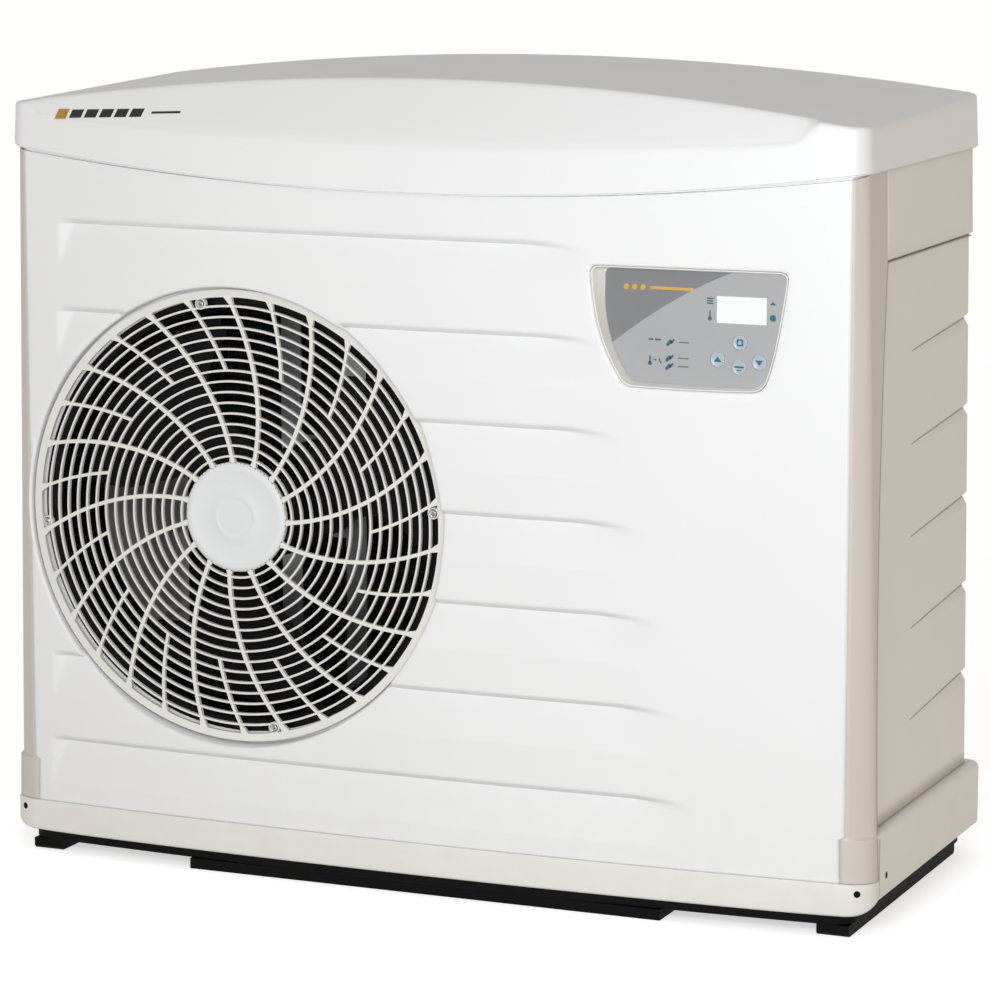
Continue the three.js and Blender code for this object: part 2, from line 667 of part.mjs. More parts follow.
function makeControlHousing() {
  const rim = common(
    plateAlongY(panelShape(0), back(-THROUGH), back(PANEL_FLOOR + PANEL_RIM)),
    frontBlock(PANEL_TOP_X[0] - PANEL_CORNER, PANEL_TOP_X[1] + PANEL_CORNER,
      PANEL_BOTTOM_Z - PANEL_CORNER, PANEL_TOP_Z + PANEL_CORNER, PANEL_FLOOR + THROUGH));
  const pocket = plateAlongY(panelShape(-PANEL_RIM), back(-THROUGH), back(PANEL_FLOOR));
  const holes = BUTTONS.map(([, x, z]) => buttonHole(x, z));
  return cut(rim, pocket, ...holes);
}

function makeControlOverlay() {
  const rear = back(PANEL_FLOOR - GAP);
  const plate = plateAlongY(panelShape(-PANEL_RIM - 1), rear - 2, rear);
  const holes = BUTTONS.map(([, x, z]) => buttonHole(x, z));
  return cut(plate, lcdBlock(GAP, -THROUGH, THROUGH), ...holes);
}

function makeButton(x, z) {
  const front = PANEL_FLOOR - 4;
  const profile = [
    [0, front], [BUTTON_RADIUS - 1.5, front], [BUTTON_RADIUS, front + 0.8],
    [BUTTON_RADIUS, PANEL_FLOOR + BUTTON_DEPTH], [0, PANEL_FLOOR + BUTTON_DEPTH],
  ];
  return turnedAlongY(profile, x, z, BUTTON_STEPS);
}

// Fan

function makeShroud() {
  const flange = RECESS_FLOOR + WALL + GAP;
  const profile = [
    [SHROUD_RADIUS + 12, flange], [RECESS_RADIUS + WALL, flange], [RECESS_RADIUS + WALL, flange + 3],
    [SHROUD_RADIUS + 14, flange + 3], [SHROUD_RADIUS + 4, flange + 14], [SHROUD_RADIUS + 4, SHROUD_REAR],
    [SHROUD_RADIUS, SHROUD_REAR], [SHROUD_RADIUS, flange + 12], [SHROUD_RADIUS + 12, flange],
  ];
  return turnedAlongY(profile, FAN_X, FAN_Z, 30);
}

function makeMotor() {
  const bore = SHAFT_RADIUS + 0.5;
  return turnedAlongY([
    [0, MOTOR_FRONT + 22], [bore, MOTOR_FRONT + 22], [bore, MOTOR_FRONT], [22, MOTOR_FRONT],
    [24, MOTOR_FRONT + 8], [55, MOTOR_FRONT + 14], [MOTOR_RADIUS, MOTOR_FRONT + 22],
    [MOTOR_RADIUS, MOTOR_BACK - 6],
    [54, MOTOR_BACK], [0, MOTOR_BACK],
  ], FAN_X, FAN_Z, 18);
}

function makeMotorBracket() {
  const { post, bar, top, sheet } = BRACKET;
  const bottom = PAN_FLOOR_Z;
  const [frontFace, rearFace] = [back(MOTOR_BACK + GAP), back(MOTOR_BACK + GAP + sheet)];
  const posts = [-1, 1].map((side) => block(
    FAN_X + side * post - bar / 2, FAN_X + side * post + bar / 2, frontFace, rearFace, bottom, top));
  const plate = block(FAN_X - post, FAN_X + post, frontFace, rearFace, FAN_Z - 60, FAN_Z + 60);
  const head = block(FAN_X - post, FAN_X + post, frontFace, rearFace, top - 30, top);
  const foot = block(FAN_X - post - bar / 2, FAN_X + post + bar / 2, frontFace, back(MOTOR_BACK + 40),
    bottom, bottom + sheet);
  return join(posts[0], posts[1], plate, head, foot);
}

function makeFanShaft() {
  return turnedAlongY(discProfile(SHAFT_RADIUS, SHAFT_FRONT, MOTOR_FRONT + 18), FAN_X, FAN_Z, 16);
}

// Angles of a blade's two edges, from 0 at its root to 1 at its tip
const leadingEdge = (t) => radians(22 + 30 * t + 14 * Math.sin(Math.PI * t));
const trailingEdge = (t) => radians(-22 - 2 * t + 22 * Math.sin(Math.PI * t));

// One blade: a sickle outline whose trailing side lies further back
function bladeGeometry(index) {
  const steps = 4;
  const radiusAt = (t) => THREE.MathUtils.lerp(BLADE_ROOT_RADIUS, BLADE_TIP_RADIUS, t);
  const arc = (t, from, to, share) => [radiusAt(t), THREE.MathUtils.lerp(from, to, share)];
  const points = [];
  for (let i = 0; i <= steps; i += 1) {
    points.push(arc(0, trailingEdge(0), leadingEdge(0), i / steps));
  }
  for (let i = 1; i <= steps; i += 1) {
    points.push([radiusAt(i / steps), leadingEdge(i / steps)]);
  }
  for (let i = 1; i <= steps; i += 1) {
    points.push(arc(1, leadingEdge(1), trailingEdge(1), i / steps));
  }
  for (let i = steps - 1; i > 0; i -= 1) {
    points.push([radiusAt(i / steps), trailingEdge(i / steps)]);
  }
  const shape = polygon(points.map(([r, a]) => [r * Math.cos(a), r * Math.sin(a)]));
  const geometry = new THREE.ExtrudeGeometry(shape, { depth: BLADE_THICKNESS, bevelEnabled: false });
  const positions = geometry.attributes.position;
  for (let i = 0; i < positions.count; i += 1) {
    const angle = Math.atan2(positions.getY(i), positions.getX(i));
    positions.setZ(i, positions.getZ(i) + BLADE_PITCH * angle);
  }
  geometry.rotateZ(index * Math.PI * 2 / BLADE_COUNT);
  geometry.rotateX(Math.PI / 2);
  geometry.translate(FAN_X, back(BLADE_DEPTH), FAN_Z);
  return geometry;
}

function makeImpeller() {
  const bore = SHAFT_RADIUS + 0.1;
  const hub = turnedAlongY([
    [bore, 50], [40, 50], [60, 62], [60, 108], [56, 108], [56, 66], [38, 54], [16, 54],
    [16, 100], [bore, 100], [bore, 50],
  ], FAN_X, FAN_Z, 18);
  const blades = [];
  for (let i = 0; i < BLADE_COUNT; i += 1) blades.push(bladeGeometry(i));
  return join(hub, ...blades);
}

function makeFanNut() {
  const hexBore = (SHAFT_RADIUS + GAP) / Math.cos(Math.PI / 6);
  return turnedAlongY(ringProfile(hexBore, 12, 40, 49.7), FAN_X, FAN_Z, 6);
}

// Coil at the back

const COIL = { x0: -478, x1: 95, y0: 363, y1: 399, z0: 62, z1: 800 };
const COIL_PIPE_DEPTH = 381;
const HEADER = { x: 110, radius: 8, z0: 100, z1: 760, stubs: 6, firstStub: 140, stubPitch: 115 };
const GUARD = { x0: -476, x1: 110, z0: 128, z1: 772, columns: 3, rows: 9, frame: 16, bar: 5, sheet: 4 };
const FEED_Z = 400;

function makeCoil() {
  const fins = 14;
  const pitch = (COIL.x1 - COIL.x0) / fins;
  const points = [];
  for (let i = 0; i < fins; i += 1) {
    const x = COIL.x0 + i * pitch;
    points.push([x, back(COIL.y0)], [x + pitch * 0.6, back(COIL.y0)]);
    points.push([x + pitch * 0.6, back(COIL.y0 + 6)], [x + pitch, back(COIL.y0 + 6)]);
  }
  points.push([COIL.x1, back(COIL.y1)], [COIL.x0, back(COIL.y1)]);
  return plateAlongZ(polygon(points), COIL.z0, COIL.z1);
}

function makeCoilHeader() {
  const header = turnedAlongZ(discProfile(HEADER.radius, HEADER.z0, HEADER.z1), HEADER.x,
    back(COIL_PIPE_DEPTH), 12);
  const stubs = [];
  for (let i = 0; i < HEADER.stubs; i += 1) {
    const length = HEADER.x - COIL.x1 - 1;
    const z = HEADER.firstStub + i * HEADER.stubPitch;
    const stub = new THREE.CylinderGeometry(4, 4, length, 8);
    stub.rotateZ(Math.PI / 2);
    stub.translate(COIL.x1 + GAP + length / 2, back(COIL_PIPE_DEPTH), z);
    stubs.push(stub);
  }
  return join(header, ...stubs);
}

function makeCoilGuard() {
  const { x0, x1, z0, z1, columns, rows, frame, bar, sheet } = GUARD;
  const face = back(CASE_DEPTH + GAP);
  const width = (x1 - x0 - 2 * frame + bar) / columns;
  const height = (z1 - z0 - 2 * frame + bar) / rows;
  const openings = [];
  for (let i = 0; i < columns * rows; i += 1) {
    const left = x0 + frame + (i % columns) * width;
    const low = z0 + frame + Math.floor(i / columns) * height;
    openings.push(block(left, left + width - bar, face - THROUGH, face + THROUGH, low, low + height - bar));
  }
  return cut(block(x0, x1, face, face + sheet, z0, z1), ...openings);
}

function makePartition() {
  const plate = block(PARTITION_X, PARTITION_X + SHEET, back(24), back(CASE_DEPTH - 2 * WALL - 1),
    PAN_FLOOR_Z, BODY_TOP_Z);
  const feed = new THREE.CylinderGeometry(12, 12, THROUGH, 16);
  feed.rotateZ(Math.PI / 2);
  feed.translate(PARTITION_X, back(COIL_PIPE_DEPTH), FEED_Z);
  return cut(plate, feed);
}

// Electrical parts

const BOX = { x0: 150, x1: 480, y0: 62, y1: 230, z0: 600, z1: 790 };
const BOX_BACK = BOX.y1 - SHEET - GAP;
const BOARD = { x0: 180, x1: 320, z0: 630, z1: 760, thickness: 6 };
const RELAY = { count: 3, x: 195, pitch: 38, width: 25, depth: 18, z0: 720, z1: 745 };
const CONTACTOR = { x0: 340, x1: 390, z0: 690, z1: 760, step: 15 };
const CAPACITOR = { x: 440, depth: 120, radius: 22, z0: 612, z1: 692 };

function makeElectricalBox() {
  const outer = block(BOX.x0, BOX.x1, back(BOX.y0), back(BOX.y1), BOX.z0, BOX.z1);
  const inner = block(BOX.x0 + SHEET, BOX.x1 - SHEET, back(BOX.y0 - 10), back(BOX.y1 - SHEET),
    BOX.z0 + SHEET, BOX.z1 - SHEET);
  const entry = turnedAlongZ(discProfile(12, BOX.z0 - 10, BOX.z0 + 10), 440, back(180), 12);
  return cut(outer, inner, entry);
}

function makeElectricalCover() {
  return block(BOX.x0, BOX.x1, back(BOX.y0 - GAP - SHEET), back(BOX.y0 - GAP), BOX.z0, BOX.z1);
}

function makeControlBoard() {
  const face = BOX_BACK - BOARD.thickness;
  const board = block(BOARD.x0, BOARD.x1, back(face), back(BOX_BACK), BOARD.z0, BOARD.z1);
  const relays = [];
  for (let i = 0; i < RELAY.count; i += 1) {
    const left = RELAY.x + i * RELAY.pitch;
    relays.push(block(
      left, left + RELAY.width, back(face - RELAY.depth), back(face + 1), RELAY.z0, RELAY.z1));
  }
  return join(board, ...relays);
}

function makeContactor() {
  const { x0, x1, z0, z1, step } = CONTACTOR;
  const face = BOX_BACK - 70;
  const body = block(x0, x1, back(face), back(BOX_BACK), z0, z1);
  const raised = block(x0, x1, back(face - step), back(face + 1), z0 + step, z1 - step);
  return join(body, raised);
}

function makeCapacitor() {
  const { x, depth, radius, z0, z1 } = CAPACITOR;
  const can = [[0, z0], [radius, z0], [radius, z1 - 2], [radius - 2, z1], [0, z1]];
  return turnedAlongZ(can, x, back(depth), 20);
}

// Refrigerant circuit

const COMPRESSOR = { x: 400, depth: 190, radius: 62, shoulder: 262, top: 312, feet: 3, footReach: 74 };
const FOOT_TOP_Z = PAN_FLOOR_Z + 12;
const CONDENSER = { x: 245, depth: 300, radius: 80, z0: 60, z1: 520 };
const ACCUMULATOR = { x: 440, depth: 310, z0: 110, z1: 300 };
const DRIER = { x: 170, depth: 150, z0: 150, z1: 270 };
const EXPANSION_HEIGHT = 62;
const PIPE_RADIUS = 6.5;

const footAngle = (index) => radians(90 + index * 360 / COMPRESSOR.feet);

function footPlace(index) {
  const { x, depth, footReach } = COMPRESSOR;
  return [x + footReach * Math.cos(footAngle(index)), back(depth) + footReach * Math.sin(footAngle(index))];
}

function makeCompressor() {
  const { x, depth, radius, shoulder, top, feet } = COMPRESSOR;
  const base = FOOT_TOP_Z + GAP;
  const shell = turnedAlongZ([
    [0, base], [radius - 2, base], [radius, base + 14], [radius, shoulder], [radius - 10, shoulder + 26],
    [8, top - 14], [8, top], [0, top],
  ], x, back(depth), 20);
  const plate = new THREE.Shape();
  for (let i = 0; i < feet; i += 1) {
    plate.absarc(...footPlace(i), 18, footAngle(i) - 1, footAngle(i) + 1);
  }
  return join(shell, plateAlongZ(plate, base, base + 4, 5));
}

function makeGrommet(index) {
  const waist = PAN_FLOOR_Z + 6;
  return turnedAlongZ([
    [0, PAN_FLOOR_Z], [15, PAN_FLOOR_Z], [12, waist], [15, FOOT_TOP_Z], [0, FOOT_TOP_Z],
  ], ...footPlace(index), 16);
}

function makeAccumulator() {
  const { x, depth, z0, z1 } = ACCUMULATOR;
  return turnedAlongZ([
    [0, z0], [20, z0], [32, z0 + 14], [32, z1 - 26], [20, z1 - 10], [9, z1 - 8], [9, z1], [0, z1],
  ], x, back(depth), 16);
}

const UNION_X = CONDENSER.x;
const UNION_RADIUS = 31.5;
const UNION_HEIGHTS = [170, 440];
const UNION_BORE = 25;
const NUT_RADIUS = 43;

function makeCondenserShell() {
  const { x, depth, radius, z0, z1 } = CONDENSER;
  const shell = turnedAlongZ([
    [0, z0], [radius - 12, z0], [radius, z0 + 12], [radius, z1 - 12], [radius - 12, z1], [0, z1],
  ], x, back(depth), 20);
  const leg = block(x - 60, x + 60, back(depth - 50), back(depth + 50), PAN_FLOOR_Z, z0 + 5);
  return join(shell, leg);
}

function makeUnion(z) {
  const start = CONDENSER.depth + CONDENSER.radius + GAP;
  const reach = CASE_DEPTH + UNION_REACH;
  const nut = CASE_DEPTH + 4;
  return turnedAlongY([
    [0, start], [UNION_RADIUS, start], [UNION_RADIUS, nut], [NUT_RADIUS, nut], [NUT_RADIUS, reach - 6],
    [UNION_RADIUS, reach - 6], [UNION_RADIUS, reach], [UNION_BORE, reach], [UNION_BORE, start + 10],
    [0, start + 10],
  ], UNION_X, z, 18);
}

const VALVE = { x: 400, depth: 190, z: 440, stub: 28, spread: 30 };

function makeReversingValve() {
  const body = new THREE.CylinderGeometry(16, 16, 116, 16);
  body.rotateZ(Math.PI / 2);
  body.translate(VALVE.x, back(VALVE.depth), VALVE.z);
  const below = turnedAlongZ(discProfile(9, VALVE.z - VALVE.stub, VALVE.z), VALVE.x, back(VALVE.depth), 10);
  const above = [-1, 0, 1].map((side) => turnedAlongZ(
    discProfile(9, VALVE.z, VALVE.z + VALVE.stub), VALVE.x + side * VALVE.spread, back(VALVE.depth), 10));
  return join(body, below, ...above);
}

function makeFilterDrier() {
  const { x, depth, z0, z1 } = DRIER;
  return turnedAlongZ([
    [0, z0], [7, z0], [8, z0 + 8], [20, z0 + 20], [20, z1 - 20], [8, z1 - 8], [7, z1], [0, z1],
  ], x, back(depth), 16);
}

function makeExpansionValve() {
  const { x, depth, z1 } = DRIER;
  const bottom = z1 + GAP;
  const stem = turnedAlongZ([
    [0, bottom], [7, bottom], [7, bottom + 14], [13, bottom + 16], [13, bottom + 44],
    [7, bottom + 46], [7, bottom + EXPANSION_HEIGHT], [0, bottom + EXPANSION_HEIGHT],
  ], x, back(depth), 12);
  const head = new THREE.CylinderGeometry(17, 17, 10, 16);
  head.rotateX(Math.PI / 2);
  head.translate(x, back(depth - 20), bottom + 30);
  const neck = new THREE.CylinderGeometry(8, 8, 20, 12);
  neck.rotateX(Math.PI / 2);
  neck.translate(x, back(depth - 10), bottom + 30);
  return join(stem, neck, head);
}

function addPipes() {
  const valveTop = VALVE.z + VALVE.stub + GAP;
  const valveBottom = VALVE.z - VALVE.stub - GAP;
  const feedStart = DRIER.z1 + EXPANSION_HEIGHT + GAP * 2;
  const routes = {
    discharge_pipe: [[400, 190, 312.5], [400, 190, 335], [425, 200, 358], [425, 180, 382],
      [400, 190, 400], [400, 190, valveBottom]],
    suction_pipe: [[430, 190, valveTop], [430, 190, 500], [434, 210, 535], [438, 270, 535],
      [440, 310, 490], [440, 310, 400], [440, 310, ACCUMULATOR.z1 + GAP]],
    condenser_pipe: [[370, 190, valveTop], [370, 190, 500], [350, 200, 545], [300, 250, 570],
      [255, 290, 565], [245, 300, 545], [245, 300, CONDENSER.z1 + GAP]],
    liquid_pipe: [[245, CONDENSER.depth - CONDENSER.radius - 1, 100], [245, 195, 100],
      [215, 160, 104], [172, 150, 118], [170, 150, 132], [170, 150, DRIER.z0 - 1]],
    coil_feed_pipe: [[170, 150, feedStart], [170, 150, 360], [162, 165, 392], [147, 260, FEED_Z],
      [146, 355, FEED_Z], [138, COIL_PIPE_DEPTH, FEED_Z],
      [HEADER.x + HEADER.radius + GAP, COIL_PIPE_DEPTH, FEED_Z]],
  };
  for (const [name, points] of Object.entries(routes)) {
    addPiece(name, pipe(points, PIPE_RADIUS, 14), materials.copper);
  }
}

// Small fittings on the outside

const GLAND_X = 430;
const GLAND_Z = 560;
const GLAND_RADIUS = 11;
const DRAIN_X = -380;
const DRAIN_DEPTH = 330;
const DRAIN_RADIUS = 8.5;
const LID_SCREW_X = 400;
const SKIRT_SCREW_RADIUS = 4.4;
const SKIRT_SCREWS = [
  { name: 'skirt_screw_right_front', side: 1, depth: 1.2, z: BASE_HEIGHT + 27, face: 510.6 },
  { name: 'skirt_screw_right_rear', side: 1, depth: 50, z: BASE_HEIGHT + 38, face: 526.6 },
  { name: 'skirt_screw_left_front', side: -1, depth: 1.2, z: BASE_HEIGHT + 27, face: 510.6 },
  { name: 'skirt_screw_left_rear', side: -1, depth: 50, z: BASE_HEIGHT + 38, face: 526.6 },
];

// The screws sit below the skirt's face, at the bottom of their holes
function makeSkirtScrew({ side, depth, z, face }) {
  return sideways(SKIRT_SCREW_RADIUS, side, face - 4.4, face - 1.6, depth, z);
}

function makeLidScrew(side) {
  const face = CASE_DEPTH + LID_OVERHANG + GAP;
  const profile = [[0, face], [7, face], [5, face + 3], [0, face + 3]];
  return turnedAlongY(profile, side * LID_SCREW_X, LID_EDGE_Z + 16, 10);
}

function makeCableGland() {
  const [bore, stem] = [5, GLAND_RADIUS - GAP];
  const face = CASE_DEPTH + GAP;
  return turnedAlongY([
    [bore, face - 14], [stem, face - 14], [stem, face], [15, face], [13, face + 20],
    [9, face + 26], [bore, face + 26], [bore, face - 14],
  ], GLAND_X, GLAND_Z, 12);
}

function makeDrain() {
  const top = PAN_BOTTOM_Z - GAP;
  return turnedAlongZ(
    ringProfile(6, DRAIN_RADIUS, top - 9, PAN_BOTTOM_Z + 10), DRAIN_X, back(DRAIN_DEPTH), 16);
}

// Assembly

addPiece('front_panel', makeFrontPanel(), materials.white);
addPiece('rear_casing', makeRearCasing(), materials.beige);
addPiece('top_cover', makeTopCover(), materials.white);
addPiece('base_skirt', makeBaseSkirt(), materials.beige);
addPiece('base_pan', makeBasePan(), materials.black);
addPiece('left_rail', makeRail(-1), materials.black);
addPiece('right_rail', makeRail(1), materials.black);
addPiece('center_plinth', makeCenterPlinth(), materials.black);
SKIRT_SCREWS.forEach((screw) => addPiece(screw.name, makeSkirtScrew(screw), materials.steel));
addPiece('lid_screw_left', makeLidScrew(-1), materials.steel);
addPiece('lid_screw_right', makeLidScrew(1), materials.steel);
addPiece('fan_grille', makeGrille(), materials.ivory);
addPiece('grille_hub_cap', makeHubCap(), materials.ivory);
SCREW_ANGLES.forEach((angle, i) => {
  addPiece(`grille_screw_${i + 1}`, makeGrilleScrew(angle), materials.steel);
});
addPiece('control_housing', makeControlHousing(), materials.beige);
addPiece('control_overlay', makeControlOverlay(), materials.grey);
addPiece('lcd_window', lcdBlock(0, PANEL_FLOOR - 2.6, PANEL_FLOOR - GAP), materials.screen);
BUTTONS.forEach(([name, x, z]) => addPiece(name, makeButton(x, z), materials.grey));
addPiece('fan_shroud', makeShroud(), materials.black);
addPiece('fan_motor', makeMotor(), materials.darkGrey);
addPiece('motor_bracket', makeMotorBracket(), materials.steel);
addPiece('fan_shaft', makeFanShaft(), materials.steel);
addPiece('fan_impeller', makeImpeller(), materials.black);
addPiece('fan_nut', makeFanNut(), materials.steel);
addPiece('evaporator_coil', makeCoil(), materials.aluminium);
addPiece('coil_header', makeCoilHeader(), materials.copper);
addPiece('coil_guard', makeCoilGuard(), materials.black);
addPiece('partition_plate', makePartition(), materials.steel);
addPiece('electrical_box', makeElectricalBox(), materials.steel);
addPiece('electrical_cover', makeElectricalCover(), materials.steel);
addPiece('control_board', makeControlBoard(), materials.board);
addPiece('contactor', makeContactor(), materials.darkGrey);
addPiece('run_capacitor', makeCapacitor(), materials.aluminium);
addPiece('compressor', makeCompressor(), materials.black);
[0, 1, 2].forEach((i) => addPiece(`compressor_grommet_${i + 1}`, makeGrommet(i), materials.rubber));
addPiece('accumulator', makeAccumulator(), materials.black);
addPiece('condenser_shell', makeCondenserShell(), materials.darkGrey);
addPiece('reversing_valve', makeReversingValve(), materials.brass);
addPiece('filter_drier', makeFilterDrier(), materials.copper);
addPiece('expansion_valve', makeExpansionValve(), materials.brass);
addPipes();
addPiece('water_inlet_union', makeUnion(UNION_HEIGHTS[0]), materials.darkGrey);
addPiece('water_outlet_union', makeUnion(UNION_HEIGHTS[1]), materials.darkGrey);
addPiece('cable_gland', makeCableGland(), materials.black);
addPiece('condensate_drain', makeDrain(), materials.black);

export default model;
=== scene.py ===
"""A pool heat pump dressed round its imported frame: casing, grille, controls, coil and fittings."""
import math

import bmesh
import bpy
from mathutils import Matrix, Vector
from mathutils.geometry import delaunay_2d_cdt


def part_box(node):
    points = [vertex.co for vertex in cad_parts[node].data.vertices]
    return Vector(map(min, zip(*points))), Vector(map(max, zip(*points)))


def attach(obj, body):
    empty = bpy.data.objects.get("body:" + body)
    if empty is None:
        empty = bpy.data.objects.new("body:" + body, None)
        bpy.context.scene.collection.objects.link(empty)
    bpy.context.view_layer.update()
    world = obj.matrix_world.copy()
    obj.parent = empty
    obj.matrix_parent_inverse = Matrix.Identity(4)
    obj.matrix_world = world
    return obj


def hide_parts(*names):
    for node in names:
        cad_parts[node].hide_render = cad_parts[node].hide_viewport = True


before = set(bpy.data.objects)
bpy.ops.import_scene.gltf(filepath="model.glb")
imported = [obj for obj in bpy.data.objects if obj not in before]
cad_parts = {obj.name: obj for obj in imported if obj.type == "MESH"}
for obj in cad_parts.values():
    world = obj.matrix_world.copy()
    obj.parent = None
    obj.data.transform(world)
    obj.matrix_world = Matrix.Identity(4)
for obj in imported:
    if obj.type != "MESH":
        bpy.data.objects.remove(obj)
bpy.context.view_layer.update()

# Sizes are millimetres and become metres when a mesh is made. Depth is measured back from the
# chord across the casing's front corners, and heights are above the floor.
MM = 0.001
TAU = math.tau


def low(node):
    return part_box(node)[0] / MM


def high(node):
    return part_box(node)[1] / MM


def middle(node):
    return (low(node) + high(node)) / 2


def depths(node):
    """Where a node starts and where it ends, measured back from the chord"""
    return low(node).y - CHORD_Y, high(node).y - CHORD_Y


# The casing, from the frame and a few driving sizes
BULGE = 18.2
CHORD_Y = low("front_panel").y + BULGE
SIDE_DRAFT = 0.0213
LID_OVERHANG = 5
LID_EDGE_Z = low("lid_screw_left").z - 9
TOP_HALF_WIDTH = high("top_cover").x - LID_OVERHANG
CASE_DEPTH = high("top_cover").y - CHORD_Y - LID_OVERHANG
SKIRT_BOTTOM_Z = low("base_skirt").z
SKIRT_TOP_Z = high("base_skirt").z
FRONT_LIP_Z = low("front_panel").z
STEP_Z = 726
BODY_TOP_Z = high("front_panel").z
WALL = 3
GAP = 0.3
REAR_CORNER_RADIUS = 20
LID_CORNER = (18, 18)
BEVEL_TOP = (13, 16)
BEVEL_BOTTOM = (28, 24)
BEVEL_BOW = (0.8, 0.2)
SKIRT_CORNER = (34, 24)
SEAM_TOP_DEPTH = 75
SEAM_BOTTOM_DEPTH = 27
RECESS_TOP = 4.5
RECESS_BOTTOM = 11

SKIRT_INSET = 0.3
FOOT_HALF_WIDTH = TOP_HALF_WIDTH + SIDE_DRAFT * (LID_EDGE_Z - SKIRT_BOTTOM_Z)
SKIRT_OUT = high("base_skirt").x - FOOT_HALF_WIDTH - SKIRT_INSET
SKIRT_REAR_OUT = high("base_skirt").y - CHORD_Y - CASE_DEPTH
SKIRT_CLIMB = 15
SKIRT_CLIMB_DEPTHS = (-8, 28)
LEDGE = SKIRT_OUT - 0.2
PAN_SQUEEZE = 0.965
SCREW_SPOT_RADIUS = 3.8

# Front ribs
RIB_COUNT = 7
RIB_TOP_Z = 736.2
RIB_PITCH = 100.5
RIB_DROP = 50
RIB_DEPTH = 7.5
RIB_LIP = 7
RIB_CURVE = 1.5
RIB_LEFT_X = -450
RIB_LEFT_SLOPE = 0.035
RIB_FACET_WIDTH = 17
RIB_END_X = 210
RIB_END_SLOPE = 0.204
RIB_FADE = 85
RIB_DROOP = 9

# Side grooves
GROOVE_COUNT = 5
GROOVE_TOP_Z = 630
GROOVE_PITCH = 103
GROOVE_ABOVE = 5.5
GROOVE_BELOW = 9
GROOVE_DEPTH = 6
GROOVE_START = 175
GROOVE_FALL = 13

# Lid
LID_SMILE = 36
LID_DRAFT = 0.045
LID_FILLET = 3.5
CREASE_Z = 838
CREASE_RISE = 22
CREASE_CLIMB = ((466, 492), (432, 462))
LID_FLANGE = 3.5
REBATE = 3
REBATE_BELOW = 1.6
RIDGE_Z = 910
RIDGE_DROP = 38
REAR_TOP_Z = high("top_cover").z
REAR_DROP = 32
RIDGE_SETBACK = 45
RIDGE_SOFTNESS = 4

MARK_X = -448
MARK_Z = 860.5
MARK_SLOPE = 0.04
MARK_LEAN = 0.3

# Fan and grille
FAN_X = middle("fan_shaft").x
FAN_Z = middle("fan_shaft").z
RECESS_RADIUS = 262
RECESS_LIP = 3.5
RECESS_FLOOR = 12
RECESS_FOOT = 1.5
GRILLE_DEPTH = depths("fan_grille")[0]
GRILLE_THICKNESS = 4.5
GRILLE_RADIUS = 258.5
SLOT_OUTER_RADIUS = 249.7
HUB_RADIUS = 62.6
RING_COUNT = 15
RING_START = 69.5
RING_PITCH = 12.15
RING_WIDTH = 2.3
SPLIT_RING = 8
SPOKE_COUNT = 15
SPOKE_WIDTH = 4.6
HALF_SPOKE_WIDTH = 3.6
SPOKE_ANGLE = 21.4
SPOKE_TWIST = 0.12
BLADE_COUNT = 3
BLADE_ROOT_RADIUS = 52
BLADE_TIP_RADIUS = 225
SHROUD_RADIUS = 232

# Control panel
PANEL_TOP_Z = 718
PANEL_BOTTOM_Z = 588
PANEL_TOP_X = (202.5, 427)
PANEL_BOTTOM_X = (236, 403)
PANEL_FLOOR = 4.5
PANEL_LIP = 2.5
OVERLAY_INSET = (11, 3.5, 3, 4)
OVERLAY_FOOT = 3
OVERLAY_THICKNESS = 2
PRINT_BACK = 0.1
BUTTONS = ("button_top", "button_left", "button_middle", "button_right")
KEYS = ("top_key", "left_key", "middle_key", "right_key")


def clamp01(value):
    return min(1, max(0, value))


def mix(a, b, t):
    return a + (b - a) * t


def spread(a, b, count):
    return [mix(a, b, i / count) for i in range(count + 1)]


def smooth(t):
    t = clamp01(t)
    return t * t * (3 - 2 * t)


def spot(point):
    """A point of width, depth and height in millimetres, in the row frame"""
    x, depth, z = point
    return Vector((x, CHORD_Y + depth, z)) * MM


# Materials

def node(tree, kind, **settings):
    made = tree.nodes.new(kind)
    for key, value in settings.items():
        if hasattr(made, key):
            setattr(made, key, value)
        else:
            made.inputs[key.replace("_", " ").title()].default_value = value
    return made


def noise(tree, scale, detail=3, roughness=0.5, stretch=(1, 1, 1)):
    """Noise in object space, so that it needs no layout of the surface"""
    place = node(tree, "ShaderNodeTexCoord")
    mapping = node(tree, "ShaderNodeMapping")
    mapping.inputs["Scale"].default_value = stretch
    tree.links.new(place.outputs["Object"], mapping.inputs["Vector"])
    made = node(tree, "ShaderNodeTexNoise", scale=scale, detail=detail, roughness=roughness)
    tree.links.new(mapping.outputs["Vector"], made.inputs["Vector"])
    return made.outputs["Fac"]


def ramp(tree, factor, low_colour, high_colour, start=0.3, end=0.7):
    made = node(tree, "ShaderNodeValToRGB")
    made.color_ramp.elements[0].position = start
    made.color_ramp.elements[1].position = end
    made.color_ramp.elements[0].color = (*low_colour, 1)
    made.color_ramp.elements[1].color = (*high_colour, 1)
    tree.links.new(factor, made.inputs["Fac"])
    return made.outputs["Color"]


def spans(tree, factor, start, end):
    made = node(tree, "ShaderNodeMapRange")
    made.inputs["To Min"].default_value = start
    made.inputs["To Max"].default_value = end
    tree.links.new(factor, made.inputs["Value"])
    return made.outputs["Result"]


def linear(colour):
    """Screen colour, 0 to 255, as linear light"""
    def channel(value):
        value /= 255
        return value / 12.92 if value <= 0.04045 else ((value + 0.055) / 1.055) ** 2.4
    return tuple(channel(value) for value in colour)


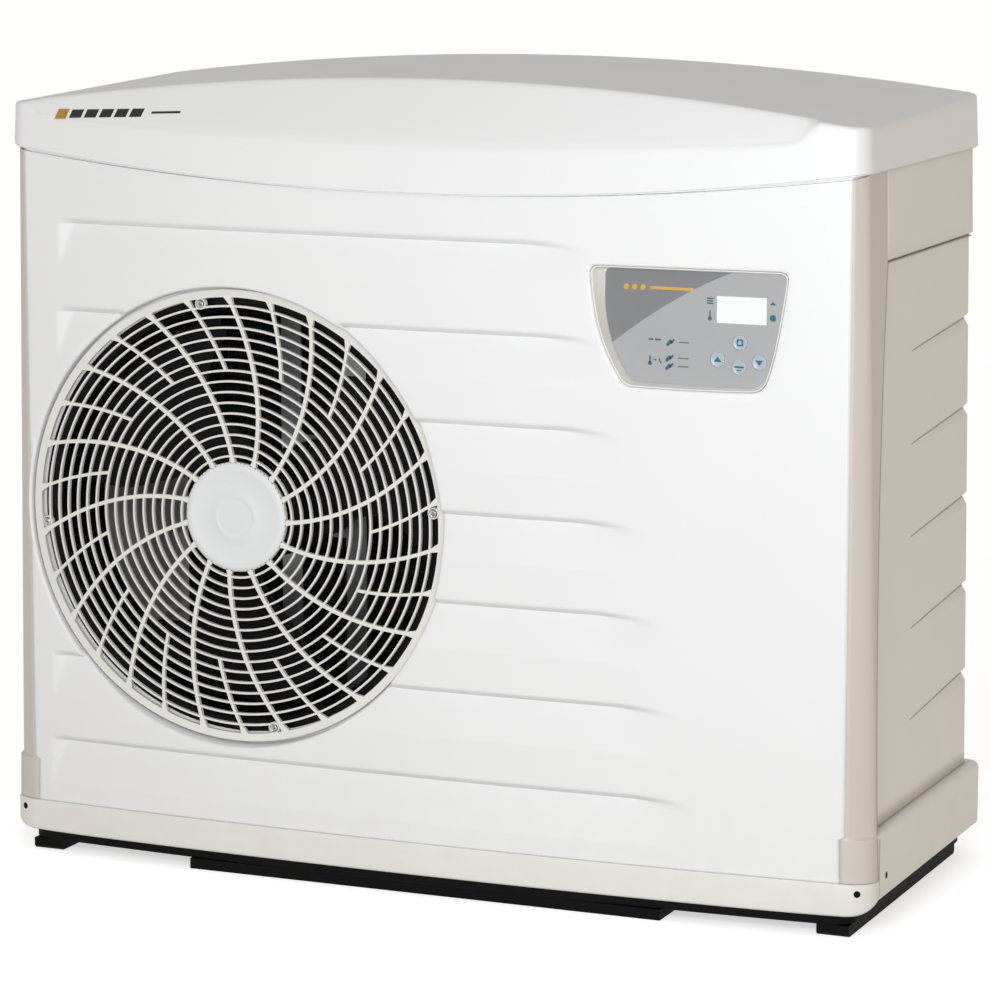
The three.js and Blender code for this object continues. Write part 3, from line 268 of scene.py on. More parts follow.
def finish(name, colour, roughness, metallic=0.0, variation=0.05, patch=7, grain=700, bump=0.06,
           gloss_variation=0.06, stretch=(1, 1, 1), coat=0.0, soil=0.0, sheen=0.0, specular=0.5):
    """A surface with slow colour variation, a fine grain in relief and uneven gloss"""
    material = bpy.data.materials.new(name)
    material.use_nodes = True
    tree = material.node_tree
    shader = tree.nodes["Principled BSDF"]
    base = linear(colour)
    dim = tuple(channel * (1 - variation) for channel in base)
    tint = ramp(tree, noise(tree, patch, 4, 0.55), dim, base)
    if soil:
        tint = soiled(tree, tint, base, soil)
    tree.links.new(tint, shader.inputs["Base Color"])
    gloss = spans(tree, noise(tree, patch * 5, 4, 0.6, stretch), roughness - gloss_variation,
                  roughness + gloss_variation)
    tree.links.new(gloss, shader.inputs["Roughness"])
    shader.inputs["Metallic"].default_value = metallic
    shader.inputs["Specular IOR Level"].default_value = specular
    shader.inputs["Coat Weight"].default_value = coat
    shader.inputs["Coat Roughness"].default_value = 0.15
    shader.inputs["Sheen Weight"].default_value = sheen
    relief = node(tree, "ShaderNodeBump", strength=bump, distance=0.0004)
    tree.links.new(noise(tree, grain, 2, 0.5, stretch), relief.inputs["Height"])
    tree.links.new(relief.outputs["Normal"], shader.inputs["Normal"])
    return material


def soiled(tree, tint, base, amount):
    """A faint dusty film that thickens towards the floor"""
    place = node(tree, "ShaderNodeTexCoord")
    split = node(tree, "ShaderNodeSeparateXYZ")
    tree.links.new(place.outputs["Object"], split.inputs["Vector"])
    height = node(tree, "ShaderNodeMapRange")
    height.inputs["From Min"].default_value = 0.02
    height.inputs["From Max"].default_value = 0.22
    height.inputs["To Min"].default_value = amount
    height.inputs["To Max"].default_value = 0.0
    tree.links.new(split.outputs["Z"], height.inputs["Value"])
    film = node(tree, "ShaderNodeMath", operation="MULTIPLY")
    tree.links.new(height.outputs["Result"], film.inputs[0])
    tree.links.new(noise(tree, 18, 5, 0.65, (1, 1, 0.4)), film.inputs[1])
    blend = node(tree, "ShaderNodeMix", data_type="RGBA")
    tree.links.new(film.outputs["Value"], blend.inputs["Factor"])
    tree.links.new(tint, blend.inputs["A"])
    dust = tuple(channel * weight for channel, weight in zip(base, (0.62, 0.55, 0.45)))
    tree.links.new(ramp(tree, noise(tree, 40, 3), dust, base), blend.inputs["B"])
    return blend.outputs["Result"]


CASING = (240, 241, 242)
MATERIALS = {
    "shell": finish("casing_plastic", CASING, 0.36, variation=0.025, patch=3, grain=900, bump=0.05,
                    soil=0.12, coat=0.08),
    "side": finish("side_plastic", (237, 235, 229), 0.42, variation=0.03, patch=3, grain=800,
                   bump=0.07, soil=0.15),
    # The corner returns: the white casing plastic made darker and warmer, as painted shade for the turned
    # corner
    "return": finish("return_plastic_painted_shade", (212, 205, 196), 0.4, variation=0.03, patch=3, grain=800,
                     bump=0.07, soil=0.12),
    "grille": finish("grille_plastic", (232, 232, 226), 0.38, variation=0.03, patch=20, grain=900),
    "hub": finish("hub_plastic", (231, 235, 236), 0.42, variation=0.02, patch=15, grain=900,
                  bump=0.08),
    "black": finish("base_coating", (8, 8, 8), 0.65, variation=0.3, patch=30, grain=1400,
                    bump=0.25, specular=0.1),
    "guard": finish("guard_coating", (20, 20, 21), 0.45, variation=0.25, patch=40, grain=1200,
                    bump=0.15),
    # Black fan plastic, made darker than the plastic itself as painted shade inside the unit
    "fan": finish("fan_plastic_with_painted_shade", (11, 11, 12), 0.6, variation=0.25, patch=20, grain=900, bump=0.1,
                  specular=0.15),
    "overlay": finish("overlay_film", (170, 171, 173), 0.4, variation=0.02, patch=30, grain=1800,
                      bump=0.12),
    "overlay_dark": finish("overlay_print", (126, 127, 131), 0.42, variation=0.03, patch=30,
                           grain=1800, bump=0.12),
    "display": finish("display_glass", (247, 249, 250), 0.12, variation=0.01, patch=60, grain=300,
                      bump=0.01, gloss_variation=0.03, coat=0.5),
    "button": finish("button_film", (176, 190, 197), 0.32, variation=0.06, patch=120, grain=1500,
                     bump=0.1, coat=0.2),
    "print": finish("teal_print", (38, 98, 124), 0.5, variation=0.15, patch=200, grain=1500),
    "gold": finish("gold_print", (206, 164, 74), 0.35, metallic=0.6, variation=0.15, patch=150,
                   grain=1500),
    # Painted shadow: a dark colour for strips laid in the seams and grooves, where only shade falls
    "seam_shadow_strip": finish("painted_seam_shadow", (176, 168, 156), 0.7, variation=0.1, patch=20, grain=600),
    "mark": finish("dark_print", (44, 42, 40), 0.45, variation=0.2, patch=150, grain=1500),
    # Dark motor paint, made darker still as painted shade behind the grille
    "motor": finish("motor_paint_with_painted_shade", (36, 37, 39), 0.5, variation=0.15, patch=25, grain=700,
                    bump=0.15),
    "zinc": finish("zinc_plate", (168, 170, 172), 0.38, metallic=0.9, variation=0.2, patch=45,
                   grain=600, bump=0.08, gloss_variation=0.12),
    "screw": finish("screw_steel", (176, 178, 180), 0.3, metallic=1, variation=0.2, patch=150,
                    grain=900, stretch=(1, 6, 1)),
    "fins": finish("fin_coating", (50, 53, 56), 0.42, metallic=0.3, variation=0.2, patch=30,
                   grain=500, bump=0.1, gloss_variation=0.12),
    "copper": finish("copper_tube", (184, 112, 70), 0.32, metallic=1, variation=0.35, patch=35,
                     grain=700, bump=0.08, gloss_variation=0.12),
    "brass": finish("brass_fitting", (194, 160, 88), 0.32, metallic=1, variation=0.25, patch=45,
                    grain=700, bump=0.08, gloss_variation=0.1),
    "compressor": finish("compressor_paint", (22, 22, 23), 0.42, variation=0.25, patch=20,
                         grain=500, bump=0.2, coat=0.2),
    "rubber": finish("foot_rubber", (27, 27, 27), 0.8, variation=0.25, patch=60, grain=900,
                     bump=0.3, sheen=0.15),
    "board": finish("circuit_board", (34, 92, 58), 0.45, variation=0.3, patch=120, grain=900,
                    bump=0.2),
    "union": finish("union_plastic", (72, 75, 78), 0.45, variation=0.12, patch=40, grain=900,
                    bump=0.15),
}


# Mesh making

def make_piece(name, shape, material, body="casing", stands_for=(), sharp=35, thickness=0,
               bevel=0, bevel_segments=3):
    """One piece from its points and faces, riding on a body of the frame"""
    points, faces = shape
    mesh = bpy.data.meshes.new(name)
    mesh.from_pydata([spot(point) for point in points], [], faces)
    work = bmesh.new()
    work.from_mesh(mesh)
    bmesh.ops.remove_doubles(work, verts=work.verts, dist=1e-5)
    loose = [vert for vert in work.verts if not vert.link_faces]
    bmesh.ops.delete(work, geom=loose, context="VERTS")
    bmesh.ops.recalc_face_normals(work, faces=work.faces)
    work.to_mesh(mesh)
    work.free()
    mesh.shade_smooth()
    mesh.set_sharp_from_angle(angle=math.radians(sharp))
    piece = bpy.data.objects.new(name, mesh)
    bpy.context.scene.collection.objects.link(piece)
    mesh.materials.append(MATERIALS[material])
    if bevel:
        add_bevel(piece, bevel, bevel_segments)
    if thickness:
        solid = piece.modifiers.new("thickness", "SOLIDIFY")
        solid.thickness = thickness * MM
        solid.offset = -1
        solid.use_even_offset = False
    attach(piece, body)
    if stands_for:
        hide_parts(*stands_for)
    return piece


def add_bevel(piece, width, segments):
    bevel = piece.modifiers.new("edges", "BEVEL")
    bevel.width = width * MM
    bevel.segments = segments
    bevel.limit_method = "ANGLE"
    bevel.angle_limit = math.radians(40)
    bevel.use_clamp_overlap = True
    bevel.harden_normals = False


def joined(*shapes):
    points, faces = [], []
    for more_points, more_faces in shapes:
        start = len(points)
        points += more_points
        faces += [tuple(index + start for index in face) for face in more_faces]
    return points, faces


def lofted(rows, closed=False):
    """A surface through rows of points. Closed rows join their ends."""
    width = len(rows[0])
    points = [point for row in rows for point in row]
    faces = []
    for r in range(len(rows) - 1):
        for c in range(width if closed else width - 1):
            after = (c + 1) % width
            faces.append((r * width + c, r * width + after, (r + 1) * width + after,
                          (r + 1) * width + c))
    return points, faces


def capped(rows):
    """A closed body: a tube through closed rows, with its two ends filled"""
    points, faces = lofted(rows, closed=True)
    width = len(rows[0])
    last = len(points) - width
    faces.append(tuple(range(width))[::-1])
    faces.append(tuple(range(last, last + width)))
    return points, faces


def turned(profile, x, z, steps=48, lobes=None):
    """A body turned about a line parallel to the depth: the profile is radius and depth"""
    rows = []
    for radius, depth in profile:
        row = []
        for i in range(steps):
            angle = TAU * i / steps
            reach = radius if lobes is None else lobes(radius, depth, angle)
            row.append((x + reach * math.cos(angle), depth, z + reach * math.sin(angle)))
        rows.append(row)
    return capped(rows)


def turned_ring(profile, x, z, steps=96, lobes=None):
    """A ring turned about a line parallel to the depth, from a closed profile"""
    points, faces = turned(profile + profile[:1], x, z, steps, lobes)
    return points, faces[:-2]


def hexagon_reach(angle, flat):
    """How far a hexagon's edge is from its middle, from how far its flats are"""
    sector = (angle + math.pi / 6) % (math.pi / 3) - math.pi / 6
    return flat / math.cos(sector)


def block(x0, x1, depth0, depth1, z0, z1):
    rows = [[(x0, depth, z0), (x1, depth, z0), (x1, depth, z1), (x0, depth, z1)]
            for depth in (depth0, depth1)]
    return capped(rows)


def slab(outline, front, rear):
    """A flat plate facing the front: the outline is width and height"""
    return capped([[(x, depth, z) for x, z in outline] for depth in (front, rear)])


def raised(loop, heights):
    """A plan loop of width and depth at its own height for each point"""
    return [(x, depth, z) for (x, depth), z in zip(loop, heights)]


def grid_outline(columns, heights):
    """The edge of a flat grid, from its lower left corner round"""
    return ([(column, heights[0]) for column in columns]
            + [(columns[-1], z) for z in heights[1:-1]]
            + [(column, heights[-1]) for column in reversed(columns)]
            + [(columns[0], z) for z in reversed(heights[1:-1])])


def filled(outline, holes, inside):
    """Fills a flat region with triangles, leaving its holes open"""
    points, edges = [], []
    for loop in [outline, *holes]:
        start = len(points)
        points += loop
        edges += [(start + i, start + (i + 1) % len(loop)) for i in range(len(loop))]
    points += inside
    made = delaunay_2d_cdt([Vector(point) for point in points], edges, [], 1, 1e-4)
    flat = [tuple(point) for point in made[0]]
    return flat, [tuple(face) for face in made[2] if not in_a_hole(face, flat, holes)]


def in_a_hole(face, flat, holes):
    centre = [sum(flat[index][k] for index in face) / len(face) for k in (0, 1)]
    return any(
        min(point[0] for point in hole) < centre[0] < max(point[0] for point in hole)
        and min(point[1] for point in hole) < centre[1] < max(point[1] for point in hole)
        and inside_loop(centre, hole) for hole in holes)


def inside_loop(point, loop):
    x, y = point
    within = False
    for (ax, ay), (bx, by) in zip(loop, loop[1:] + loop[:1]):
        if (ay > y) != (by > y) and x < ax + (y - ay) / (by - ay) * (bx - ax):
            within = not within
    return within


def circle(x, z, radius, steps):
    return [(x + radius * math.cos(TAU * i / steps), z + radius * math.sin(TAU * i / steps))
            for i in range(steps)]


def quarter(steps):
    """Sine and one minus cosine over a quarter turn, for rounded edges"""
    return [(math.sin(a), 1 - math.cos(a)) for a in spread(0, math.pi / 2, steps)]


def curve(a, control, b, count):
    """A curve from a to b that is drawn towards its control point"""
    return [tuple(mix(mix(a[k], control[k], t), mix(control[k], b[k], t), t) for k in (0, 1))
            for t in spread(0, 1, count)]


def bowed(t, bow):
    """A share that runs ahead of t in the middle and meets it at both ends"""
    return t * (1 + bow * (1 - t))


def distinct(values, least=0.05):
    kept = []
    for value in sorted(values):
        if not kept or value - kept[-1] > least:
            kept.append(value)
    return kept


# Casing surfaces

def half_width(z):
    return TOP_HALF_WIDTH + SIDE_DRAFT * (LID_EDGE_Z - z)


def front_depth(x):
    return -BULGE * (1 - (x / TOP_HALF_WIDTH) ** 2)


def below_ledge(z):
    return smooth((SKIRT_TOP_Z - z + 1.5) / 3)


def corner_size(z):
    """Width and depth of the front corner: a bevel that widens downwards, then the skirt's round"""
    down = clamp01((LID_EDGE_Z - z) / (LID_EDGE_Z - SKIRT_TOP_Z))
    return tuple(mix(mix(top, bottom, down), round_end, below_ledge(z))
                 for top, bottom, round_end in zip(BEVEL_TOP, BEVEL_BOTTOM, SKIRT_CORNER))


def seam_depth(z):
    rise = clamp01((z - SKIRT_TOP_Z) / (STEP_Z - SKIRT_TOP_Z))
    return SEAM_BOTTOM_DEPTH + (SEAM_TOP_DEPTH - SEAM_BOTTOM_DEPTH) * rise ** 2.2


def side_recess(z):
    """How far the side panel lies inside the casing's edge, below the step"""
    depth = mix(RECESS_TOP, RECESS_BOTTOM, (STEP_Z - z) / (STEP_Z - SKIRT_TOP_Z))
    return depth * smooth((STEP_Z + 1.5 - z) / 3)


def rib_relief(x, z):
    """How far the front surface sinks below each rib's rounded edge"""
    deepest = 0
    for index in range(RIB_COUNT):
        flat_edge = RIB_TOP_Z - index * RIB_PITCH
        if not flat_edge - RIB_DROP - RIB_DROOP < z < flat_edge + RIB_LIP:
            continue
        end = RIB_END_X + RIB_END_SLOPE * (RIB_TOP_Z - flat_edge)
        left = RIB_LEFT_X - RIB_LEFT_SLOPE * (RIB_TOP_Z - flat_edge)
        towards_end = clamp01((x - end + RIB_FADE) / RIB_FADE)
        above = z - (flat_edge - RIB_DROOP * towards_end ** 2)
        if above >= RIB_LIP or above <= -RIB_DROP:
            continue
        fade = 1 - smooth(towards_end)
        if above > 0:
            profile = RIB_DEPTH * (1 - above / RIB_LIP) ** RIB_CURVE
        else:
            profile = RIB_DEPTH * (1 + above / RIB_DROP)
        facet = RIB_DEPTH * clamp01((x - left) / RIB_FACET_WIDTH)
        sunk = profile * facet / RIB_DEPTH if above > 0 else min(profile, facet)
        deepest = max(deepest, fade * sunk)
    return deepest


def groove_relief(depth, z):
    """How far a side groove lies inside the side panel"""
    along = clamp01((depth - GROOVE_START) / (CASE_DEPTH - GROOVE_START))
    top = GROOVE_TOP_Z - GROOVE_FALL * (1 - along)
    index = round((top - z) / GROOVE_PITCH)
    if not 0 <= index < GROOVE_COUNT:
        return 0
    above = z - top + index * GROOVE_PITCH
    across = 1 - (above / GROOVE_ABOVE if above > 0 else -above / GROOVE_BELOW)
    return GROOVE_DEPTH * max(0, across) * along


# The front is laid out flat by reach, which runs across the front, round the corner and back
# along the side to the seam, and then turns in
FACET_END_REACH = 426
FACET_REACH = 476
FLAT_REACH = 489
CORNER_REACH = FLAT_REACH + 36
SEAM_REACH = CORNER_REACH + 40
EDGE_REACH = SEAM_REACH + 3
FLANGE_REACH = EDGE_REACH + 8


def corner_x(z):
    return half_width(z) - corner_size(z)[0]


def ledge_relief(reach, z):
    """The casing's side steps out below the skirt's top line"""
    return LEDGE * smooth((reach - FLAT_REACH) / (CORNER_REACH - FLAT_REACH)) * below_ledge(z)


def lid_rebate(reach, z):
    """The casing steps back just below the lid's edge, which leaves a dark joint"""
    x = reach * TOP_HALF_WIDTH / CORNER_REACH
    edge = LID_EDGE_Z - LID_SMILE * clamp01(1 - (x / TOP_HALF_WIDTH) ** 2)
    return REBATE * clamp01((z - edge + REBATE_BELOW) / 0.5)


def front_point(reach_point):
    reach, z = reach_point
    side = -1 if reach < 0 else 1
    reach = abs(reach)
    x_corner = corner_x(z)
    if reach <= FLAT_REACH:
        x = side * reach * x_corner / FLAT_REACH
        return x, front_depth(x) + rib_relief(x, z) + lid_rebate(reach, z), z
    t = min(1, (reach - FLAT_REACH) / (CORNER_REACH - FLAT_REACH))
    turn = t * math.pi / 2
    across = mix(bowed(t, BEVEL_BOW[0]), math.sin(turn), below_ledge(z))
    inward = mix(bowed(t, BEVEL_BOW[1]), 1 - math.cos(turn), below_ledge(z))
    wide, deep = corner_size(z)
    out = ledge_relief(reach, z) - lid_rebate(reach, z)
    x = x_corner + (wide + out) * across
    depth = front_depth(x_corner) + deep * inward + lid_rebate(reach, z) * math.cos(turn)
    seam = seam_depth(z)
    if reach > CORNER_REACH:
        along = min(1, (reach - CORNER_REACH) / (SEAM_REACH - CORNER_REACH))
        depth = mix(depth, seam - 1, along)
    if reach > SEAM_REACH:
        bend = min(1, (reach - SEAM_REACH) / (EDGE_REACH - SEAM_REACH)) * math.pi / 2
        rounding = 1 if side_recess(z) > 0.5 or z < SKIRT_TOP_Z else 0.02
        depth = seam - 1 + math.sin(bend)
        x -= rounding * (1 - math.cos(bend))
    if reach > EDGE_REACH:
        turned_in = (reach - EDGE_REACH) / (FLANGE_REACH - EDGE_REACH)
        x -= turned_in * (side_recess(z) + WALL + 2)
    return side * x, depth, z


def reach_of(x, z):
    return x * FLAT_REACH / corner_x(z)


def rib_heights():
    """Heights that catch each rib's rounded edge"""
    offsets = [share * RIB_LIP for share in (0, 0.12, 0.25, 0.4, 0.58, 0.78, 1, 1.3)]
    offsets += [-0.6, -3, -8, -16, -26, -38, -48, -RIB_DROP, -RIB_DROP - 2]
    return [RIB_TOP_Z - index * RIB_PITCH + offset
            for index in range(RIB_COUNT) for offset in offsets]


def panel_outline(left, right, top, bottom, foot=None, steps=8):
    """The control recess as width and height, with each side moved in by its own inset.
    The foot is the left side's inset at its lower end, when that differs."""
    round_size = 12
    z_top, z_bottom = PANEL_TOP_Z - top, PANEL_BOTTOM_Z + bottom
    top_left, top_right = PANEL_TOP_X[0] + left, PANEL_TOP_X[1] - right
    bottom_left = PANEL_BOTTOM_X[0] + (left if foot is None else foot)
    bottom_right = PANEL_BOTTOM_X[1] - right

    def bend(a, control, b, count):
        return curve(a, control, b, count)[:-1]

    right_top = (top_right - 2, z_top - round_size)
    right_bottom = (bottom_right, z_bottom + round_size)
    left_bottom = (bottom_left, z_bottom + round_size)
    left_top = (top_left + 2, z_top - round_size)
    start, finish_top = (top_left + round_size, z_top), (top_right - round_size, z_top)
    base_right, base_left = (bottom_right - 18, z_bottom), (bottom_left + 18, z_bottom)
    sag = (mix(bottom_left, bottom_right, 0.5), z_bottom - 2)
    return (
        bend(start, (mix(start[0], finish_top[0], 0.5), z_top), finish_top, steps * 3)
        + bend(finish_top, (top_right, z_top), right_top, steps)
        + bend(right_top, (bottom_right + 11, z_bottom + 40), right_bottom, steps * 2)
        + bend(right_bottom, (bottom_right - 5, z_bottom), base_right, steps)
        + bend(base_right, sag, base_left, steps * 3)
        + bend(base_left, (bottom_left + 5, z_bottom), left_bottom, steps)
        + bend(left_bottom, (bottom_left - 27, z_bottom + 52), left_top, steps * 2)
        + bend(left_top, (top_left, z_top), start, steps))


def even_outline(inset):
    return panel_outline(inset, inset, inset, inset)


def overlay_outline(inset):
    """The control plate's outline, moved in all round"""
    return panel_outline(*(side + inset for side in OVERLAY_INSET), OVERLAY_FOOT + inset)


def surface(x, z):
    return front_depth(x) + rib_relief(x, z)


def recess_angles(radius):
    """Even steps round the fan recess, with extra ones where it crosses a rib's edge"""
    angles = [TAU * i / 300 for i in range(300)]
    for z in rib_heights():
        rise = (z - FAN_Z) / radius
        if abs(rise) < 1:
            angles += [math.asin(rise) % TAU, (math.pi - math.asin(rise)) % TAU]
    return distinct(angles, 0.0006)


def recess_rows(angles):
    """From the front surface over a rounded lip, down the recess wall and across its floor"""
    rows = []
    outer = RECESS_RADIUS + RECESS_LIP
    edge_depths = [surface(FAN_X + outer * math.cos(a), FAN_Z + outer * math.sin(a)) for a in angles]
    for sine, rise in quarter(5):
        rows.append([(outer - RECESS_LIP * sine, depth + RECESS_LIP * rise) for depth in edge_depths])
    for t in spread(0, 1, 3)[1:]:
        rows.append([(RECESS_RADIUS, mix(depth + RECESS_LIP, RECESS_FLOOR - RECESS_FOOT, t))
                     for depth in edge_depths])
    for sine, rise in quarter(3)[1:]:
        rows.append([(RECESS_RADIUS - RECESS_FOOT * rise, RECESS_FLOOR - RECESS_FOOT * (1 - sine))]
                    * len(angles))
    rows.append([(SLOT_OUTER_RADIUS, RECESS_FLOOR)] * len(angles))
    rows.append([(SLOT_OUTER_RADIUS - 1, RECESS_FLOOR + 1)] * len(angles))
    return [[(FAN_X + r * math.cos(a), depth, FAN_Z + r * math.sin(a))
             for a, (r, depth) in zip(angles, row)] for row in rows]


def laid_flat(outline):
    return [(reach_of(x, z), z) for x, z in outline]


def window_rows():
    """Over a rounded lip from the front surface into the control recess"""
    edge = even_outline(-PANEL_LIP)
    rows = []
    for sine, rise in quarter(4):
        rows.append([(x, surface(edge_x, edge_z) + PANEL_LIP * rise, z) for (x, z), (edge_x, edge_z)
                     in zip(even_outline(PANEL_LIP * (sine - 1)), edge)])
    rows.append([(x, depth + WALL, z) for x, depth, z in rows[-1]])
    return rows


def make_front_panel():
    """The white front with its fan and control recesses, and the returns at its corners, whose darker
    beige finish is painted shade on the same white plastic
    """
    radius = RECESS_RADIUS + RECESS_LIP
    angles = recess_angles(radius)
    recess = laid_flat([(FAN_X + radius * math.cos(a), FAN_Z + radius * math.sin(a)) for a in angles])
    window = laid_flat(even_outline(-PANEL_LIP))
    keep_clear = laid_flat(even_outline(-PANEL_LIP - 2))
    outline, inside = front_layout()
    inside = [
        (reach, z) for reach, z in inside
        if math.hypot(reach * corner_x(z) / FLAT_REACH - FAN_X, z - FAN_Z) > radius + 1.5
        and not inside_loop((reach, z), keep_clear)]
    flat, faces = filled(outline, [recess, window], inside)
    points = [front_point(point) for point in flat]
    on_corner = [any(abs(flat[index][0]) > FLAT_REACH + 0.1 for index in face) for face in faces]
    front_faces = [face for face, corner in zip(faces, on_corner) if not corner]
    corner_faces = [face for face, corner in zip(faces, on_corner) if corner]
    # The returns take the darker beige finish: painted shade on white plastic
    make_piece("front_returns", (points, corner_faces), "return", sharp=50,
               thickness=WALL)
    shape = joined((points, front_faces), lofted(recess_rows(angles), closed=True),
                   lofted(window_rows(), closed=True))
    make_piece("front_shell", shape, "shell", stands_for=["front_panel"], sharp=50,
               thickness=WALL)


def front_layout():
    """The flat layout's outline and the points that fill it"""
    reaches = mirrored_steps((FLANGE_REACH, 2), (EDGE_REACH, 3), (SEAM_REACH, 5), (CORNER_REACH, 9),
                             (FLAT_REACH, 3), (FACET_REACH, 22), (FACET_END_REACH, 48))
    heights = rib_heights() + spread(FRONT_LIP_Z, BODY_TOP_Z, 60)
    heights += spread(STEP_Z - 3, STEP_Z + 3, 6) + spread(SKIRT_TOP_Z - 4, SKIRT_TOP_Z + 4, 6)
    heights += spread(FRONT_LIP_Z, SKIRT_TOP_Z, 24)
    heights = [z for z in distinct(heights, 0.15) if FRONT_LIP_Z <= z <= BODY_TOP_Z]
    heights[-1] = BODY_TOP_Z
    inside = [(reach, z) for reach in reaches[1:-1] for z in heights[1:-1]]
    for reach in reaches[1:-1]:
        across = reach / CORNER_REACH
        edge = LID_EDGE_Z - LID_SMILE * clamp01(1 - across ** 2)
        inside = [point for point in inside if point[0] != reach or abs(point[1] - edge + 1) > 4]
        inside += [(reach, edge + offset) for offset in (1, -REBATE_BELOW + 0.5, -REBATE_BELOW, -4)]
    return grid_outline(reaches, heights), inside


def mirrored_steps(*stretches):
    """Steps from one end through the middle to the other. A stretch is its outer reach and count."""
    reaches = []
    starts = [-reach for reach, _ in stretches]
    for start, end, (_, count) in zip(starts, starts[1:] + [0], stretches):
        reaches += spread(start, end, count)[:-1]
    return distinct(reaches + [0] + [-reach for reach in reaches])


COIL_OPENING = (-462, 96, 140, 760)
COIL_OPENING_CORNER = 10
UNION_HOLE_RADIUS = 33.5
GLAND_HOLE_RADIUS = 11

# The sides and back are laid out flat by reach from the middle of the back
BACK_REACH = 480
STRAIGHT_BACK = 470
TURN_REACH = BACK_REACH + 44
SIDE_REACH = TURN_REACH + 360


def rear_point(reach_point):
    reach, z = reach_point
    side = -1 if reach < 0 else 1
    reach = abs(reach)
    side_end = CASE_DEPTH - REAR_CORNER_RADIUS
    if reach <= STRAIGHT_BACK:
        return side * reach, CASE_DEPTH, z
    along = clamp01((reach - TURN_REACH) / (SIDE_REACH - TURN_REACH))
    depth = mix(side_end, seam_depth(z), along)
    x_side = half_width(z) - side_recess(z) - groove_relief(depth, z)
    x_corner = x_side - REAR_CORNER_RADIUS
    if reach < BACK_REACH:
        return side * mix(STRAIGHT_BACK, x_corner, (reach - STRAIGHT_BACK) / 10), CASE_DEPTH, z
    if reach < TURN_REACH:
        turn = (reach - BACK_REACH) / (TURN_REACH - BACK_REACH) * math.pi / 2
        return (side * (x_corner + REAR_CORNER_RADIUS * math.sin(turn)),
                side_end + REAR_CORNER_RADIUS * math.cos(turn), z)
    return side * x_side, depth, z


def make_rear_casing():
    """The beige sides and back in one shell, with openings for the coil and the fittings"""
    bottom = SKIRT_TOP_Z + GAP
    reaches = mirrored_steps((SIDE_REACH, 40), (TURN_REACH, 9), (BACK_REACH, 1), (STRAIGHT_BACK, 24))
    heights = spread(bottom, BODY_TOP_Z, 40) + spread(STEP_Z - 1.5, STEP_Z + 1.5, 6)
    for index in range(GROOVE_COUNT):
        centre = GROOVE_TOP_Z - index * GROOVE_PITCH
        heights += spread(centre - GROOVE_FALL - GROOVE_BELOW, centre + GROOVE_ABOVE, 26)
    heights = distinct(heights, 0.3)
    heights[-1] = BODY_TOP_Z
    openings, clear = rear_openings()
    inside = [(reach, z) for reach in reaches[1:-1] for z in heights[1:-1]
              if not any(test(reach, z) for test in clear)]
    flat, faces = filled(grid_outline(reaches, heights), openings, inside)
    shape = [rear_point(point) for point in flat], faces
    make_piece("rear_shell", shape, "side", stands_for=["rear_casing"], sharp=50,
               thickness=WALL)


def rear_openings():
    """The coil opening, the two water ports and the cable entry, with tests that keep clear of them"""
    x0, x1, z0, z1 = COIL_OPENING
    corner = COIL_OPENING_CORNER
    coil = []
    for cx, cz, start in ((x1 - corner, z1 - corner, 0), (x0 + corner, z1 - corner, 1),
                          (x0 + corner, z0 + corner, 2), (x1 - corner, z0 + corner, 3)):
        coil += [(cx + corner * math.cos(a), cz + corner * math.sin(a))
                 for a in spread(start * math.pi / 2, (start + 1) * math.pi / 2, 6)]
    clear = [lambda x, z: x0 - 2 < x < x1 + 2 and z0 - 2 < z < z1 + 2]
    openings = [coil]
    for node_name, radius in (("water_inlet_union", UNION_HOLE_RADIUS),
                              ("water_outlet_union", UNION_HOLE_RADIUS),
                              ("cable_gland", GLAND_HOLE_RADIUS)):
        x, z = middle(node_name).x, middle(node_name).z
        openings.append(circle(x, z, radius, 40))
        clear.append(lambda px, pz, x=x, z=z, radius=radius: math.hypot(px - x, pz - z) < radius + 2)
    return openings, clear


# Plan outlines of the lid and the skirt, as width and depth, from the middle of the front round

def plan(z, corner, out, rear_out):
    """The casing's plan at one height, grown outwards, anticlockwise seen from above"""
    wide, deep = corner[0] + out, corner[1] + out
    x_corner = half_width(z) + out - wide
    front_corner = front_depth(x_corner) - out
    back = CASE_DEPTH + rear_out
    radius = REAR_CORNER_RADIUS
    right = [(x, front_depth(x) - out) for x in spread(0, x_corner, 48)[:-1]]
    right += [(x_corner + wide * math.sin(a), front_corner + deep * (1 - math.cos(a)))
              for a in spread(0, math.pi / 2, 14)]
    half = half_width(z) + out
    right += [(half, depth) for depth in spread(front_corner + deep, back - radius, 26)[1:-1]]
    right += [(half - radius * (1 - math.cos(a)), back - radius + radius * math.sin(a))
              for a in spread(0, math.pi / 2, 10)]
    right += [(x, back) for x in spread(half - radius, 0, 30)[1:]]
    left = [(-x, depth) for x, depth in reversed(right[1:-1])]
    return right + left


def moved_in(loop, amounts):
    """The loop with each point moved towards its inside"""
    moved = []
    count = len(loop)
    for i, (x, depth) in enumerate(loop):
        (ax, ad), (bx, bd) = loop[i - 1], loop[(i + 1) % count]
        tx, td = bx - ax, bd - ad
        length = math.hypot(tx, td)
        amount = amounts[i] if isinstance(amounts, list) else amounts
        moved.append((x - td / length * amount, depth + tx / length * amount))
    return moved


def soft_min(a, b, softness):
    share = clamp01(0.5 + 0.5 * (b - a) / softness)
    return mix(b, a, share) - softness * share * (1 - share)


def lens_crease(x):
    """The height of the front crease, which climbs steeply to the ridge near both ends"""
    arch = (x / TOP_HALF_WIDTH) ** 2
    start, end = CREASE_CLIMB[0 if x < 0 else 1]
    climb = smooth((abs(x) - start) / (end - start))
    return mix(CREASE_Z + CREASE_RISE * arch, RIDGE_Z - RIDGE_DROP * arch - 1, climb)


